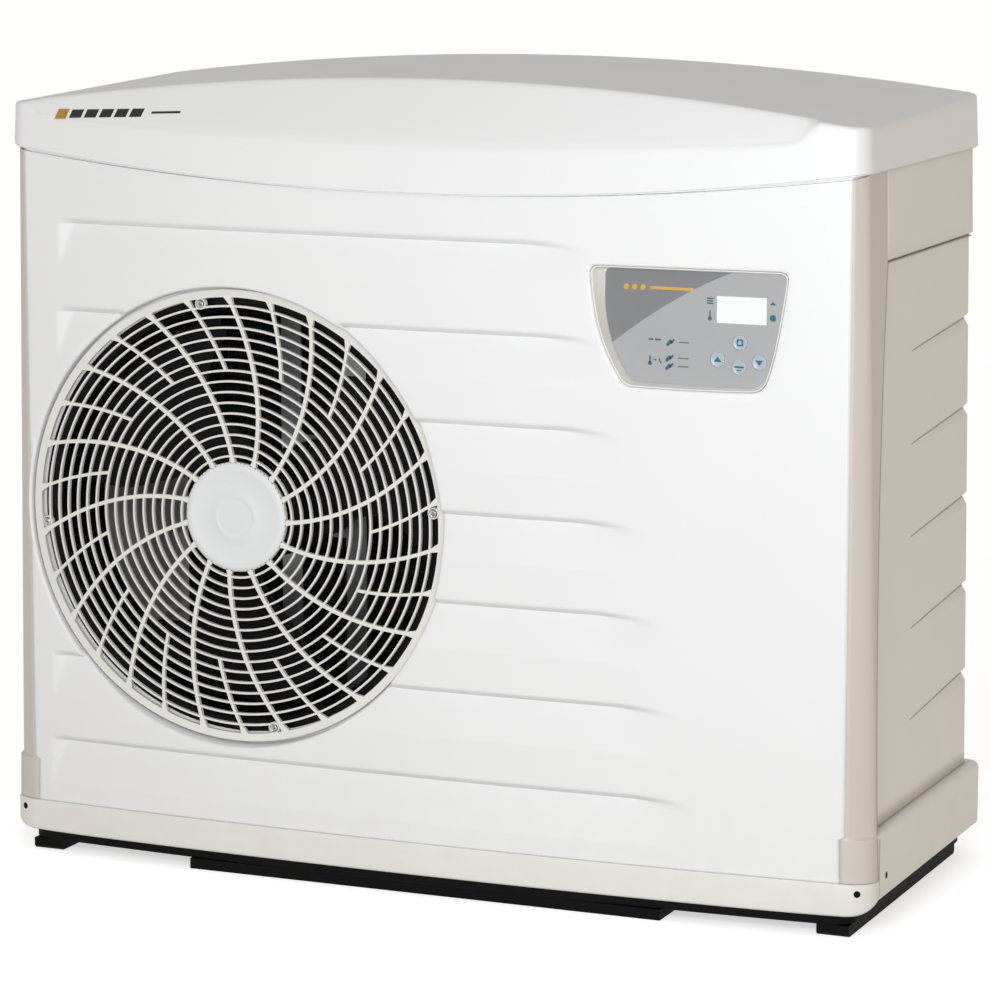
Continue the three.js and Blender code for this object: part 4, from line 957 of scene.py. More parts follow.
def lens_depth(x, z):
    """The depth of the slope between the crease and the ridge"""
    arch = (x / TOP_HALF_WIDTH) ** 2
    crease = lens_crease(x)
    front = front_depth(x) - LID_OVERHANG + 1
    climbed = (z - crease) / (RIDGE_Z - RIDGE_DROP * arch - crease)
    return front + climbed * (1 + RIDGE_SETBACK * (1 - arch))


def ridge_depth(x):
    front = front_depth(x) - LID_OVERHANG
    return front + 2 + RIDGE_SETBACK * clamp01(1 - (x / TOP_HALF_WIDTH) ** 2)


def lid_height(x, depth):
    """The lid's top: a slope from the front crease up to the ridge, then a low arch to the rear"""
    arch = (x / TOP_HALF_WIDTH) ** 2
    front = front_depth(x) - LID_OVERHANG
    setback = ridge_depth(x)
    ridge = RIDGE_Z - RIDGE_DROP * arch
    crease = lens_crease(x)
    rear = REAR_TOP_Z - REAR_DROP * arch
    slope = crease + (ridge - crease) * (depth - front - 1) / (setback - front - 1)
    top = ridge + (rear - ridge) * (depth - setback) / (CASE_DEPTH - setback)
    return soft_min(slope, top, RIDGE_SOFTNESS)


def lid_bottom(x, depth):
    lens = clamp01(1 - (x / TOP_HALF_WIDTH) ** 2)
    return LID_EDGE_Z - LID_SMILE * lens * clamp01((60 - depth) / 30)


def make_lid():
    """The lid's flange, drafted wall and rounded rim, closed by its crowned top"""
    base = plan(LID_EDGE_Z, LID_CORNER, LID_OVERHANG, LID_OVERHANG)
    bottoms = [lid_bottom(x, depth) for x, depth in base]
    rims = [lid_height(x, depth) for x, depth in moved_in(base, LID_FILLET)]
    rows = [raised(moved_in(base, LID_FLANGE), bottoms)]
    for drop in (1, 0.4, 0):
        rows.append(raised(moved_in(base, 1 - math.sqrt(1 - drop ** 2)),
                           [bottom + 1 - drop for bottom in bottoms]))
    for t in spread(0, 1, 7):
        heights = [mix(bottom + 1, rim - LID_FILLET, t) for rim, bottom in zip(rims, bottoms)]
        draft = [LID_DRAFT * (z - bottom) for z, bottom in zip(heights, bottoms)]
        rows.append(raised(moved_in(base, draft), heights))
    draft = [LID_DRAFT * (rim - bottom) for rim, bottom in zip(rims, bottoms)]
    for sine, rise in quarter(6)[1:]:
        loop = moved_in(base, [lean + LID_FILLET * rise for lean in draft])
        rows.append([(x, depth, mix(rim - LID_FILLET, lid_height(x, depth), sine))
                     for (x, depth), rim in zip(loop, rims)])
    edge = [(x, depth) for x, depth, _ in rows[-1]]
    inside = []
    for x in spread(-500, 500, 100):
        ridge = ridge_depth(x)
        places = [ridge + offset for offset in (-30, -20, -12, -7, -4, -2, 0, 2, 4, 7, 12, 20)]
        places += spread(ridge + 30, CASE_DEPTH, 24)
        inside += [(x, depth) for depth in places]
    margin = moved_in(edge, 1.5)
    inside = [point for point in inside if inside_loop(point, margin)]
    flat, faces = filled(edge, [], inside)
    top = [(x, depth, lid_height(x, depth)) for x, depth in flat], faces
    make_piece("lid_shell", joined(lofted(rows, closed=True), top), "shell",
               stands_for=["top_cover"], sharp=60, thickness=WALL)


def skirt_top(depth):
    """The skirt reaches up the sides and back, and stays low across the front"""
    return SKIRT_TOP_Z if depth > SEAM_BOTTOM_DEPTH + GAP else FRONT_LIP_Z - GAP


def skirt_bottom(depth):
    """The lower edge climbs as it leaves the front corner"""
    start, end = SKIRT_CLIMB_DEPTHS
    return SKIRT_BOTTOM_Z + SKIRT_CLIMB * smooth((depth - start) / (end - start))


def make_skirt():
    """The skirt's turned-in foot, its wall, and its rounded top edge and ledge"""
    outer = skirt_plan()
    tops = [skirt_top(depth) for _, depth in outer]
    bottoms = [skirt_bottom(depth) for _, depth in outer]
    fillet = 3
    crowns = [6 if top == SKIRT_TOP_Z else 1.5 for top in tops]
    rows = [raised(moved_in(outer, fillet + 6), bottoms)]
    for sine, rise in quarter(4):
        rows.append(raised(moved_in(outer, fillet * (1 - sine)),
                           [bottom + fillet * rise for bottom in bottoms]))
    for t in spread(0, 1, 4)[1:]:
        rows.append(raised(outer, [mix(bottom + fillet, top - crown, t)
                                   for bottom, top, crown in zip(bottoms, tops, crowns)]))
    for sine, rise in quarter(6)[1:]:
        rows.append(raised(moved_in(outer, [crown * rise for crown in crowns]),
                           [top - crown * (1 - sine) for top, crown in zip(tops, crowns)]))
    ledge = [20 if top == SKIRT_TOP_Z else 8 for top in tops]
    rows.append(raised(moved_in(outer, ledge), tops))
    make_piece("skirt_shell", lofted(rows, closed=True), "side",
               stands_for=["base_skirt"], sharp=50, thickness=WALL)


def skirt_plan():
    """The skirt's plan, with two points at each side seam, where its top line steps"""
    loop = plan(SKIRT_BOTTOM_Z, SKIRT_CORNER, SKIRT_OUT, SKIRT_REAR_OUT)
    seam = SEAM_BOTTOM_DEPTH + GAP
    half = FOOT_HALF_WIDTH + SKIRT_OUT
    stepped = []
    for index, (x, depth) in enumerate(loop):
        next_depth = loop[(index + 1) % len(loop)][1]
        stepped.append((x, depth))
        if (depth - seam) * (next_depth - seam) < 0:
            side = 1 if x > 0 else -1
            near, far = (side * half, seam - 0.05), (side * half, seam + 0.05)
            stepped += [near, far] if depth < seam else [far, near]
    return stepped


def make_skirt_details():
    """A dark strip of painted shadow down the seam on each side of the skirt, and black discs of painted
    shade over the screw holes either side of it
    """
    loop = [point for point in skirt_plan() if point[0] > 0 and point[1] < CASE_DEPTH / 2]
    face = SKIRT_OUT + FOOT_HALF_WIDTH
    for side, sign in (("left", -1), ("right", 1)):
        # A dark block in the skirt's seam: painted shadow
        seam_shadow_strip = block(sign * (face - 1), sign * (face + 0.15),
                      SEAM_BOTTOM_DEPTH - 0.3, SEAM_BOTTOM_DEPTH + 0.7,
                      skirt_bottom(SEAM_BOTTOM_DEPTH) + 4, SKIRT_TOP_Z - 3)
        make_piece(f"skirt_shadow_strip_{side}", seam_shadow_strip, "seam_shadow_strip", sharp=40)
        for place in ("front", "rear"):
            name = f"skirt_screw_{side}_{place}"
            centre = middle(name)
            spots = []
            for share, proud in ((1, -0.8), (1, 0.2), (0.75, 0.25), (0.6, 0.1), (0.05, 0.12)):
                spots.append([on_plan(loop, centre.y - CHORD_Y, SCREW_SPOT_RADIUS * share * math.cos(a),
                                      proud, sign, centre.z + SCREW_SPOT_RADIUS * share * math.sin(a))
                              for a in spread(0, TAU, 24)[:-1]])
            # Black discs over each screw's place: painted shade of the screw hole
            make_piece(f"{name}_recess", capped(spots), "black", stands_for=[name],
                       sharp=50)


def on_plan(loop, depth, along, proud, sign, z):
    """A point a little way along the plan from one depth, standing proud of it"""
    start = min(range(len(loop)), key=lambda i: abs(loop[i][1] - depth) - loop[i][0] / 1000)
    step = 1 if along > 0 else -1
    left = abs(along)
    i = start
    while True:
        (ax, ad), (bx, bd) = loop[i], loop[i + step]
        length = math.hypot(bx - ax, bd - ad)
        if length >= left:
            break
        left -= length
        i += step
    x, place = mix(ax, bx, left / length), mix(ad, bd, left / length)
    nx, nd = (bd - ad) / length * step, -(bx - ax) / length * step
    return sign * (x + nx * proud), place + nd * proud, z


def make_side_shadow_strips():
    """Dark strips of painted shadow where each side panel meets the casing's edge and step, and along its
    grooves
    """
    rear = CASE_DEPTH - REAR_CORNER_RADIUS
    for side, sign in (("left", -1), ("right", 1)):
        upright = []
        for z in spread(SKIRT_TOP_Z + 1, STEP_Z - 1.2, 40):
            inner, outer = half_width(z) - side_recess(z - 3) - 0.5, half_width(z) - 0.3
            near, far = seam_depth(z) + 0.1, seam_depth(z) + 3
            upright.append([(sign * inner, near, z), (sign * outer, near, z),
                            (sign * outer, far, z), (sign * inner, far, z)])
        level = []
        for depth in spread(seam_depth(STEP_Z) + 0.2, rear, 12):
            inner, outer = half_width(STEP_Z) - RECESS_TOP - 0.5, half_width(STEP_Z) - 0.9
            low_z, high_z = STEP_Z - 2.9, STEP_Z - 1.6
            level.append([(sign * inner, depth, low_z), (sign * outer, depth, low_z),
                          (sign * outer, depth, high_z), (sign * inner, depth, high_z)])
        grooves = [groove_line(sign, index) for index in range(GROOVE_COUNT)]
        # Painted shadow strips in the seam, under the step and along each groove
        make_piece(f"side_shadow_strip_{side}", joined(capped(upright), capped(level), *grooves), "seam_shadow_strip",
                   sharp=50)


def groove_line(sign, index):
    """A dark strip of painted shade along the bottom of one side groove"""
    rows = []
    for depth in spread(GROOVE_START + 4, CASE_DEPTH - REAR_CORNER_RADIUS, 12):
        along = (depth - GROOVE_START) / (CASE_DEPTH - GROOVE_START)
        z = GROOVE_TOP_Z - index * GROOVE_PITCH - GROOVE_FALL * (1 - along)
        bottom = half_width(z) - side_recess(z) - GROOVE_DEPTH * along
        low_z, high_z = z - 0.5, z + 0.5 + 1.6 * along
        inner, outer = sign * (bottom - 0.5), sign * (bottom + 0.3 + along)
        rows.append([(inner, depth, low_z), (outer, depth, low_z), (outer, depth, high_z),
                     (inner, depth, high_z)])
    return capped(rows)


def make_base():
    """The black pan, which is narrower than the skirt, and the rails and plinth under it"""
    pan_bottom, pan_top = low("base_pan").z, high("base_pan").z
    outer = [(x * PAN_SQUEEZE, depth) for x, depth in plan(SKIRT_BOTTOM_Z, SKIRT_CORNER, -WALL - GAP, 8)]
    inner = moved_in(outer, WALL)
    rows = [[(x, depth, z) for x, depth in loop] for loop, z in (
        (moved_in(outer, 1.2), pan_bottom), (outer, pan_bottom + 1.2), (outer, pan_top),
        (inner, pan_top), (inner, pan_bottom + WALL))]
    make_piece("pan_tray", capped(rows), "black", stands_for=["base_pan"], sharp=40)
    for name in ("left_rail", "right_rail", "center_plinth"):
        dress(name, "black", 1.2)


# Grille

def spoke_angle(position, radius):
    return math.radians(SPOKE_ANGLE + position * 360 / SPOKE_COUNT + SPOKE_TWIST * (radius - HUB_RADIUS))


def spoke_width(whole, radius):
    """Spokes flare where they run into the rim and the hub"""
    width = SPOKE_WIDTH if whole else HALF_SPOKE_WIDTH
    flare = 5 * clamp01((radius - SLOT_OUTER_RADIUS + 9) / 9) ** 2
    return width + flare + 3 * clamp01((HUB_RADIUS + 6 - radius) / 6)


def make_grille():
    """A polar plate: cells inside rings or spokes are solid, and the rest are open"""
    radii, ring_cells = grille_radii()
    columns, spoke_cells = grille_columns()
    count = len(columns)

    def corner(row, column):
        position, whole, edge = columns[column % count]
        radius = radii[row]
        angle = spoke_angle(position, radius)
        if edge:
            angle += edge * spoke_width(whole, radius) / 2 / radius
        return FAN_X + radius * math.cos(angle), FAN_Z + radius * math.sin(angle)

    def solid(row, column):
        if not 0 <= row < len(radii) - 1:
            return False
        if row in ring_cells:
            return True
        kind = spoke_cells[column % count]
        return kind == "whole" or (kind == "half" and radii[row] > half_spoke_start())

    front, rear = GRILLE_DEPTH, GRILLE_DEPTH + GRILLE_THICKNESS
    points = []
    for depth in (front, rear):
        for row in range(len(radii)):
            for column in range(count):
                x, z = corner(row, column)
                points.append((x, depth, z))
    layer = len(radii) * count

    def index(row, column, back=0):
        return back * layer + row * count + column % count

    faces = []
    for row in range(len(radii) - 1):
        for column in range(count):
            if not solid(row, column):
                continue
            a, b = index(row, column), index(row, column + 1)
            c, d = index(row + 1, column + 1), index(row + 1, column)
            faces += [(a, b, c, d), (d + layer, c + layer, b + layer, a + layer)]
            if not solid(row - 1, column):
                faces.append((a, a + layer, b + layer, b))
            if not solid(row + 1, column):
                faces.append((d, c, c + layer, d + layer))
            if not solid(row, column - 1):
                faces.append((a, d, d + layer, a + layer))
            if not solid(row, column + 1):
                faces.append((b, b + layer, c + layer, c))
    make_piece("grille_lattice", (points, faces), "grille",
               stands_for=["fan_grille"], sharp=50, bevel=0.8, bevel_segments=2)


def half_spoke_start():
    return RING_START + (SPLIT_RING - 0.3) * RING_PITCH


def grille_radii():
    """Radial lines of the grille, and which bands between them are solid all round"""
    radii = [HUB_RADIUS - 6, HUB_RADIUS]
    ring_cells = {0}
    for ring in range(RING_COUNT):
        centre = RING_START + ring * RING_PITCH
        ring_cells.add(len(radii))
        radii += [centre - RING_WIDTH / 2, centre + RING_WIDTH / 2]
    ring_cells.add(len(radii))
    radii += [SLOT_OUTER_RADIUS, GRILLE_RADIUS]
    return radii, ring_cells


def grille_columns():
    """Angular lines of the grille: a spoke's two edges, then even steps to the next spoke"""
    columns, cells = [], []
    steps = 6
    for spoke in range(SPOKE_COUNT):
        for half in (0, 1):
            start = spoke + half / 2
            whole = half == 0
            columns += [(start, whole, -1), (start, whole, 1)]
            cells += ["whole" if whole else "half", "open"]
            for i in range(1, steps):
                columns.append((start + 0.5 * i / steps, whole, 0))
                cells.append("open")
    return columns, cells


def make_hub_cap():
    """A shallow cap with a rolled edge and a plain raised ring"""
    face = GRILLE_DEPTH - GAP
    rim = high("grille_hub_cap").x - FAN_X
    profile = [
        (0, face - 1.9), (20, face - 1.9), (21, face - 1.9), (22, face - 2.4), (24, face - 2.5),
        (26, face - 2.4), (27, face - 1.9), (36, face - 1.9), (52, face - 1.9), (53, face - 2.3),
        (56, face - 2.5), (58.5, face - 2.2), (60.3, face - 1.5), (rim, face - 0.4), (rim, face),
        (0, face)]
    make_piece("hub_cap_disc", turned(profile, FAN_X, FAN_Z, 96), "hub",
               stands_for=["grille_hub_cap"], sharp=45)


# A screw head's outline: the share of its radius, and the share of its height below its tip
FRONT_SCREW_HEAD = [(0.01, 0.32), (0.25, 0.3), (0.55, 0.2), (0.8, 0.08), (1, 0.35), (1, 1)]
REAR_SCREW_HEAD = [(0.01, 0.3), (0.3, 0.26), (0.6, 0.15), (0.85, 0.06), (1, 0.3), (1, 1)]


def cross_screw(name, node_name, head, tip, height, radius):
    """A domed head with a cross cut into it, standing for a frame screw"""
    centre = middle(node_name)
    rows, steps = [], 32
    for share, down in head:
        row = []
        for i in range(steps):
            angle = TAU * i / steps
            cross = max(abs(math.cos(2 * angle)) - 0.86, 0) / 0.14
            sink = 0.55 * cross * clamp01((0.62 - share) / 0.2)
            row.append((centre.x + radius * share * math.cos(angle), tip + height * min(1, down + sink),
                        centre.z + radius * share * math.sin(angle)))
        rows.append(row)
    make_piece(name, capped(rows), "screw", stands_for=[node_name], sharp=40)


def make_screws():
    """The grille's screws in their bosses, and the lid's screws at the back"""
    for i in range(1, 5):
        name = f"grille_screw_{i}"
        centre = middle(name)
        cross_screw(f"grille_screw_head_{i}", name, FRONT_SCREW_HEAD, depths(name)[0], 2.4, 4.6)
        boss = [(6.6, GRILLE_DEPTH + 0.6), (6.2, GRILLE_DEPTH - 0.1), (5.2, GRILLE_DEPTH - 0.1),
                (4.9, GRILLE_DEPTH + 0.5), (4.9, GRILLE_DEPTH + 6), (6.6, GRILLE_DEPTH + 6)]
        make_piece(f"grille_screw_boss_{i}", turned_ring(boss, centre.x, centre.z, 32), "grille",
                   sharp=50)
    for side in ("left", "right"):
        name = f"lid_screw_{side}"
        cross_screw(f"lid_screw_head_{side}", name, REAR_SCREW_HEAD, depths(name)[1], -3, 6.8)


# Control panel

def make_control_housing():
    """The pocket's sloping walls and floor"""
    outer = even_outline(GAP)
    floor_edge = overlay_outline(-1)
    rows = []
    starts = [surface(x, z) + PANEL_LIP - 0.4 for x, z in outer]
    for t in spread(0, 1, 8):
        ease = t ** 1.25
        rows.append([(mix(ax, bx, ease), mix(start, PANEL_FLOOR - 0.2, t), mix(az, bz, ease))
                     for (ax, az), (bx, bz), start in zip(outer, floor_edge, starts)])
    rows.append([(x, PANEL_FLOOR, z) for x, z in overlay_outline(1)])
    points, faces = lofted(rows, closed=True)
    width = len(outer)
    last = len(points) - width
    faces.append(tuple(range(last, last + width)))
    make_piece("control_pocket", (points, faces), "side",
               stands_for=["control_housing"], sharp=55, thickness=1.5)


def overlay_holes():
    """Round the display and round each button"""
    lcd_low, lcd_high = low("lcd_window"), high("lcd_window")
    x0, x1, z0, z1 = lcd_low.x - GAP, lcd_high.x + GAP, lcd_low.z - GAP, lcd_high.z + GAP
    holes = [[(x0, z0), (x1, z0), (x1, z1), (x0, z1)]]
    holes += [circle(middle(name).x, middle(name).z, high(name).x - middle(name).x + 0.5, 40)
              for name in BUTTONS]
    return holes


def plate_with_holes(outline, holes, front, rear):
    flat, faces = filled(outline, holes, [])
    shapes = [([(x, depth, z) for x, z in flat], faces) for depth in (front, rear)]
    for loop in [outline, *holes]:
        walls = [[(x, depth, z) for x, z in loop] for depth in (front, rear)]
        shapes.append(lofted(walls, closed=True))
    return joined(*shapes)


def make_overlay():
    """The grey control plate with its prints, and the display's pane"""
    front = PANEL_FLOOR - OVERLAY_THICKNESS - GAP
    shape = plate_with_holes(overlay_outline(0), overlay_holes(), front, PANEL_FLOOR - GAP)
    make_piece("overlay_plate", shape, "overlay", stands_for=["control_overlay"],
               sharp=40, bevel=0.3, bevel_segments=2)
    make_dark_print(front)
    lcd_low, lcd_high = low("lcd_window"), high("lcd_window")
    glass = block(lcd_low.x, lcd_high.x, front - GAP, PANEL_FLOOR - GAP, lcd_low.z, lcd_high.z)
    make_piece("display_pane", glass, "display", stands_for=["lcd_window"],
               sharp=40, bevel=0.5)
    make_icons(front)


def make_dark_print(front):
    """The darker area across the overlay's upper left, above a shallow curve"""
    start, control, end = (222, 632), (297, 690), (360, 714.2)
    below_area = (330, 600)
    lower = curve(start, control, end, 24)
    edge = [point for point in overlay_outline(0.6)
            if point[0] < end[0] and above_line(point, lower) and point[1] > start[1] - 1]
    edge.sort(key=lambda point: math.atan2(point[1] - below_area[1], point[0] - below_area[0]))
    make_piece("overlay_dark_area", slab(lower + edge, front - 0.12, front + PRINT_BACK),
               "overlay_dark", sharp=40)


def above_line(point, line):
    for (ax, az), (bx, bz) in zip(line, line[1:]):
        if ax <= point[0] <= bx:
            return point[1] > az + (bz - az) * (point[0] - ax) / (bx - ax)
    return point[0] < line[0][0]


def rounded_bar(x, z, length, height, slant=0.0, steps=5):
    """A bar with round ends, centred on a point and leaning by an angle"""
    radius = height / 2
    reach = length / 2 - radius
    outline = []
    for end, start in ((1, -math.pi / 2), (-1, math.pi / 2)):
        outline += [(end * reach + radius * math.cos(a), radius * math.sin(a))
                    for a in spread(start, start + math.pi, steps)]
    cos, sin = math.cos(slant), math.sin(slant)
    return [(x + px * cos - pz * sin, z + px * sin + pz * cos) for px, pz in outline]


def make_icons(front):
    """Small printed signs: plain bars, drops, discs and triangles that spell nothing"""
    lcd_low, lcd_high = low("lcd_window"), high("lcd_window")
    outlines = []
    left_x, right_x = lcd_low.x - 7.5, lcd_high.x + 7
    upper_z, lower_z = lcd_high.z - 5.5, lcd_low.z + 8
    outlines += [rounded_bar(left_x, upper_z + offset, 7.5, 1.6) for offset in (2.6, 0, -2.6)]
    outlines.append(rounded_bar(left_x, lower_z + 1.5, 8, 1.5, math.pi / 2))
    outlines.append(circle(left_x, lower_z - 3.4, 2.2, 16))
    outlines.append([(right_x - 3.6, upper_z - 1.6), (right_x + 3.6, upper_z - 1.6),
                     (right_x, upper_z + 2.2)])
    outlines += [circle(right_x, lower_z, 3.6, 20)]
    for lamp_x, lamp_z, bar_x in ((290, 637, 306.5), (289, 620, 305.5), (289, 611, 305.5)):
        outlines.append(rounded_bar(lamp_x - 0.6, lamp_z - 1, 8.5, 3.6, math.radians(48)))
        outlines.append(rounded_bar(lamp_x + 3.2, lamp_z + 0.6, 6.5, 2.2, math.radians(48)))
        outlines.append(rounded_bar(bar_x, lamp_z, 12.5, 1.1))
    outlines += [rounded_bar(268.5, 639, 5.5, 2), rounded_bar(276.5, 639, 7.5, 2)]
    outlines += [rounded_bar(267.5, 617.6, 7.5, 1.8, math.pi / 2), circle(267.5, 613.2, 2.3, 16)]
    outlines += [rounded_bar(273.4, 617, 3.4, 1.3), rounded_bar(279, 616, 6.5, 1.3, math.radians(115))]
    shapes = [slab(outline, front - 0.14, front + PRINT_BACK) for outline in outlines]
    make_piece("overlay_signs", joined(*shapes), "print", sharp=40)
    stripe_z = 694.6
    stripes = [rounded_bar(240 + 9.5 * i, stripe_z, 7, 5.6, math.radians(62)) for i in range(3)]
    stripes.append(rounded_bar(292, stripe_z, 50, 3.2))
    gold = [slab(stripe, front - 0.26, front + PRINT_BACK) for stripe in stripes]
    make_piece("overlay_gold_stripes", joined(*gold), "gold", sharp=40)


def make_buttons():
    """Soft domed keys, each with a plain raised sign of its own"""
    for name, key in zip(BUTTONS, KEYS):
        x, z = middle(name).x, middle(name).z
        front, rear = depths(name)
        radius = high(name).x - x
        profile = [(0, front + 0.75), (radius * 0.45, front + 0.65), (radius * 0.7, front + 0.35),
                   (radius * 0.8, front + 0.05), (radius * 0.88, front), (radius * 0.95, front + 0.15),
                   (radius, front + 0.7), (radius, rear), (0, rear)]
        make_piece(f"{name}_cap", turned(profile, x, z, 48), "button", key, [name],
                   sharp=45)
        shapes = [slab(outline, front + 0.3, front + 1) for outline in button_sign(name, x, z)]
        make_piece(f"{name}_sign", joined(*shapes), "print", key, sharp=40)


def button_sign(name, x, z):
    if name == "button_top":
        level = [rounded_bar(x, z + offset, 7, 1.5) for offset in (3, -3)]
        return level + [rounded_bar(x + offset, z, 6, 1.5, math.pi / 2) for offset in (-2.8, 2.8)]
    if name == "button_left":
        return [[(x - 4.4, z - 2.4), (x + 4.4, z - 2.4), (x, z + 3.2)]]
    if name == "button_middle":
        return [rounded_bar(x, z + 0.5, 11, 2), rounded_bar(x, z - 3, 6, 1.2)]
    return [[(x - 4.4, z + 2.4), (x, z - 3.2), (x + 4.4, z + 2.4)]]


def make_lid_mark():
    """A plain printed strip at the lid's upper left: a small square and a row of bars"""
    def on_lens(start, width, height):
        outline = []
        for across, up in ((0, -0.5), (1, -0.5), (1, 0.5), (0, 0.5)):
            x = start + width * across + height * up * MARK_LEAN
            outline.append((x, MARK_Z + MARK_SLOPE * (x - MARK_X) + height * up))
        return capped([[(x, lens_depth(x, z) - proud, z) for x, z in outline] for proud in (0.3, -0.4)])
    make_piece("lid_mark_square", on_lens(MARK_X, 14, 11), "gold", sharp=40)
    bars = [on_lens(MARK_X + 18 + 19 * i, 15, 9) for i in range(5)]
    bars.append(on_lens(MARK_X + 120, 36, 2.4))
    make_piece("lid_mark_bars", joined(*bars), "mark", sharp=40)


# Fan

def make_shroud():
    """A ring with a flared mouth and a flange, round the blades"""
    flange, rear = depths("fan_shroud")
    outer = high("fan_shroud").x - FAN_X
    flare = quarter(6)[1:]
    profile = [(SHROUD_RADIUS + 12, flange), (outer, flange), (outer, flange + 3),
               (SHROUD_RADIUS + 14, flange + 3)]
    profile += [(SHROUD_RADIUS + 4 + 10 * (1 - sine), flange + 3 + 11 * rise) for sine, rise in flare]
    profile += [(SHROUD_RADIUS + 4, rear), (SHROUD_RADIUS, rear)]
    profile += [(SHROUD_RADIUS + 12 * (1 - sine), flange + 12 * rise) for sine, rise in reversed(flare)]
    make_piece("shroud_ring", turned_ring(profile, FAN_X, FAN_Z, 120), "fan",
               stands_for=["fan_shroud"], sharp=45)


def make_motor():
    """The motor's can with its cooling grooves"""
    front, rear = depths("fan_motor")
    radius = high("fan_motor").x - FAN_X
    profile = [(6.5, front + 20), (6.5, front), (20, front), (22, front + 1.5), (24, front + 8),
               (46, front + 11), (54, front + 14), (57, front + 18), (58, front + 22)]
    fins = 5
    for i in range(fins):
        start = mix(front + 26, rear - 14, i / fins)
        profile += [(radius, start), (radius - 2.5, start + 2), (radius - 2.5, start + 4),
                    (radius, start + 6)]
    profile += [(radius, rear - 8), (56, rear - 3), (52, rear), (0, rear)]
    make_piece("motor_can", turned(profile, FAN_X, FAN_Z, 72), "motor",
               stands_for=["fan_motor"])


def blade_shape(index):
    """A sickle blade, thickest behind its leading edge, whose trailing side lies further back"""
    turn = TAU * index / BLADE_COUNT
    rows = []
    for t in spread(0, 1, 22):
        radius = mix(BLADE_ROOT_RADIUS, BLADE_TIP_RADIUS - 1, t)
        lead = math.radians(22 + 30 * t + 14 * math.sin(math.pi * t))
        trail = math.radians(-22 - 2 * t + 22 * math.sin(math.pi * t))
        tip_round = 0.12 * smooth((t - 0.86) / 0.14)
        lead, trail = mix(lead, trail, tip_round), mix(trail, lead, tip_round)
        row = []
        for side in (1, -1):
            shares = spread(0, 1, 18)
            for share in shares if side > 0 else reversed(shares):
                angle = mix(lead, trail, share)
                half = 0.25 + 1.25 * math.sqrt(max(0, math.sin(math.pi * share ** 0.8)))
                depth = 78.5 - 34 * angle - side * half * mix(1, 0.6, t)
                row.append((FAN_X + radius * math.cos(angle + turn), depth,
                            FAN_Z + radius * math.sin(angle + turn)))
        rows.append(row)
    return capped(rows)


def make_impeller():
    """The blades on their ribbed hub, the nut and the shaft"""
    hub = [(6.1, 50), (38, 50), (46, 52), (54, 56.5), (59, 62), (60, 68), (60, 106), (59, 108),
           (56, 108), (56, 66), (50, 58), (38, 54), (16, 54), (15.5, 100), (6.1, 100)]
    ribs = []
    for i in range(6):
        angle = TAU * i / 6
        along, across = (math.cos(angle), math.sin(angle)), (-math.sin(angle), math.cos(angle))
        corners = [(15, -1.2), (56.5, -1.2), (56.5, 1.2), (15, 1.2)]
        ribs.append(slab([(FAN_X + r * along[0] + w * across[0], FAN_Z + r * along[1] + w * across[1])
                          for r, w in corners], 60, 98))
    blades = [blade_shape(i) for i in range(BLADE_COUNT)]
    shape = joined(turned_ring(hub, FAN_X, FAN_Z, 96), *ribs, *blades)
    make_piece("impeller_moulding", shape, "fan", "fan", ["fan_impeller"], sharp=40)
    nut = [(6.4, 41), (9.5, 40.2), (11.4, 40.6), (11.8, 41.8), (11.8, 48.6), (12, 49.6), (6.4, 49.6)]

    def hexagon(radius, depth, angle):
        return radius if radius < 8 else min(radius, hexagon_reach(angle, 10.2))
    make_piece("impeller_nut", turned_ring(nut, FAN_X, FAN_Z, 96, hexagon), "screw",
               "fan", ["fan_nut"], sharp=30)
    dress("fan_shaft", "zinc", 0)


# Coil

FIN_PITCH = 3.6
FIN_THICKNESS = 0.4
TUBE_RADIUS = 5
TUBE_PITCH = 25.4
TUBES_PER_ROW = 28


def make_coil():
    """Two rows of copper tubes through close upright fins"""
    lo, hi = low("evaporator_coil"), high("evaporator_coil")
    front, rear = depths("evaporator_coil")
    count = int((hi.x - lo.x) / FIN_PITCH)
    fins = []
    for i in range(count):
        x = mix(lo.x, hi.x - FIN_THICKNESS, i / (count - 1))
        fins.append(block(x, x + FIN_THICKNESS, front, rear, lo.z, hi.z))
    make_piece("coil_fins", joined(*fins), "fins", stands_for=["evaporator_coil"])
    tubes = []
    for row in range(2):
        depth = mix(front, rear, 0.28 + 0.44 * row)
        for i in range(TUBES_PER_ROW):
            section = circle(depth, lo.z + 24 + TUBE_PITCH * (i + row * 0.5), TUBE_RADIUS, 12)
            tubes.append(capped([[(x, d, h) for d, h in section] for x in (lo.x + 0.5, hi.x - 0.5)]))
    make_piece("coil_tubes", joined(*tubes), "copper", sharp=40)


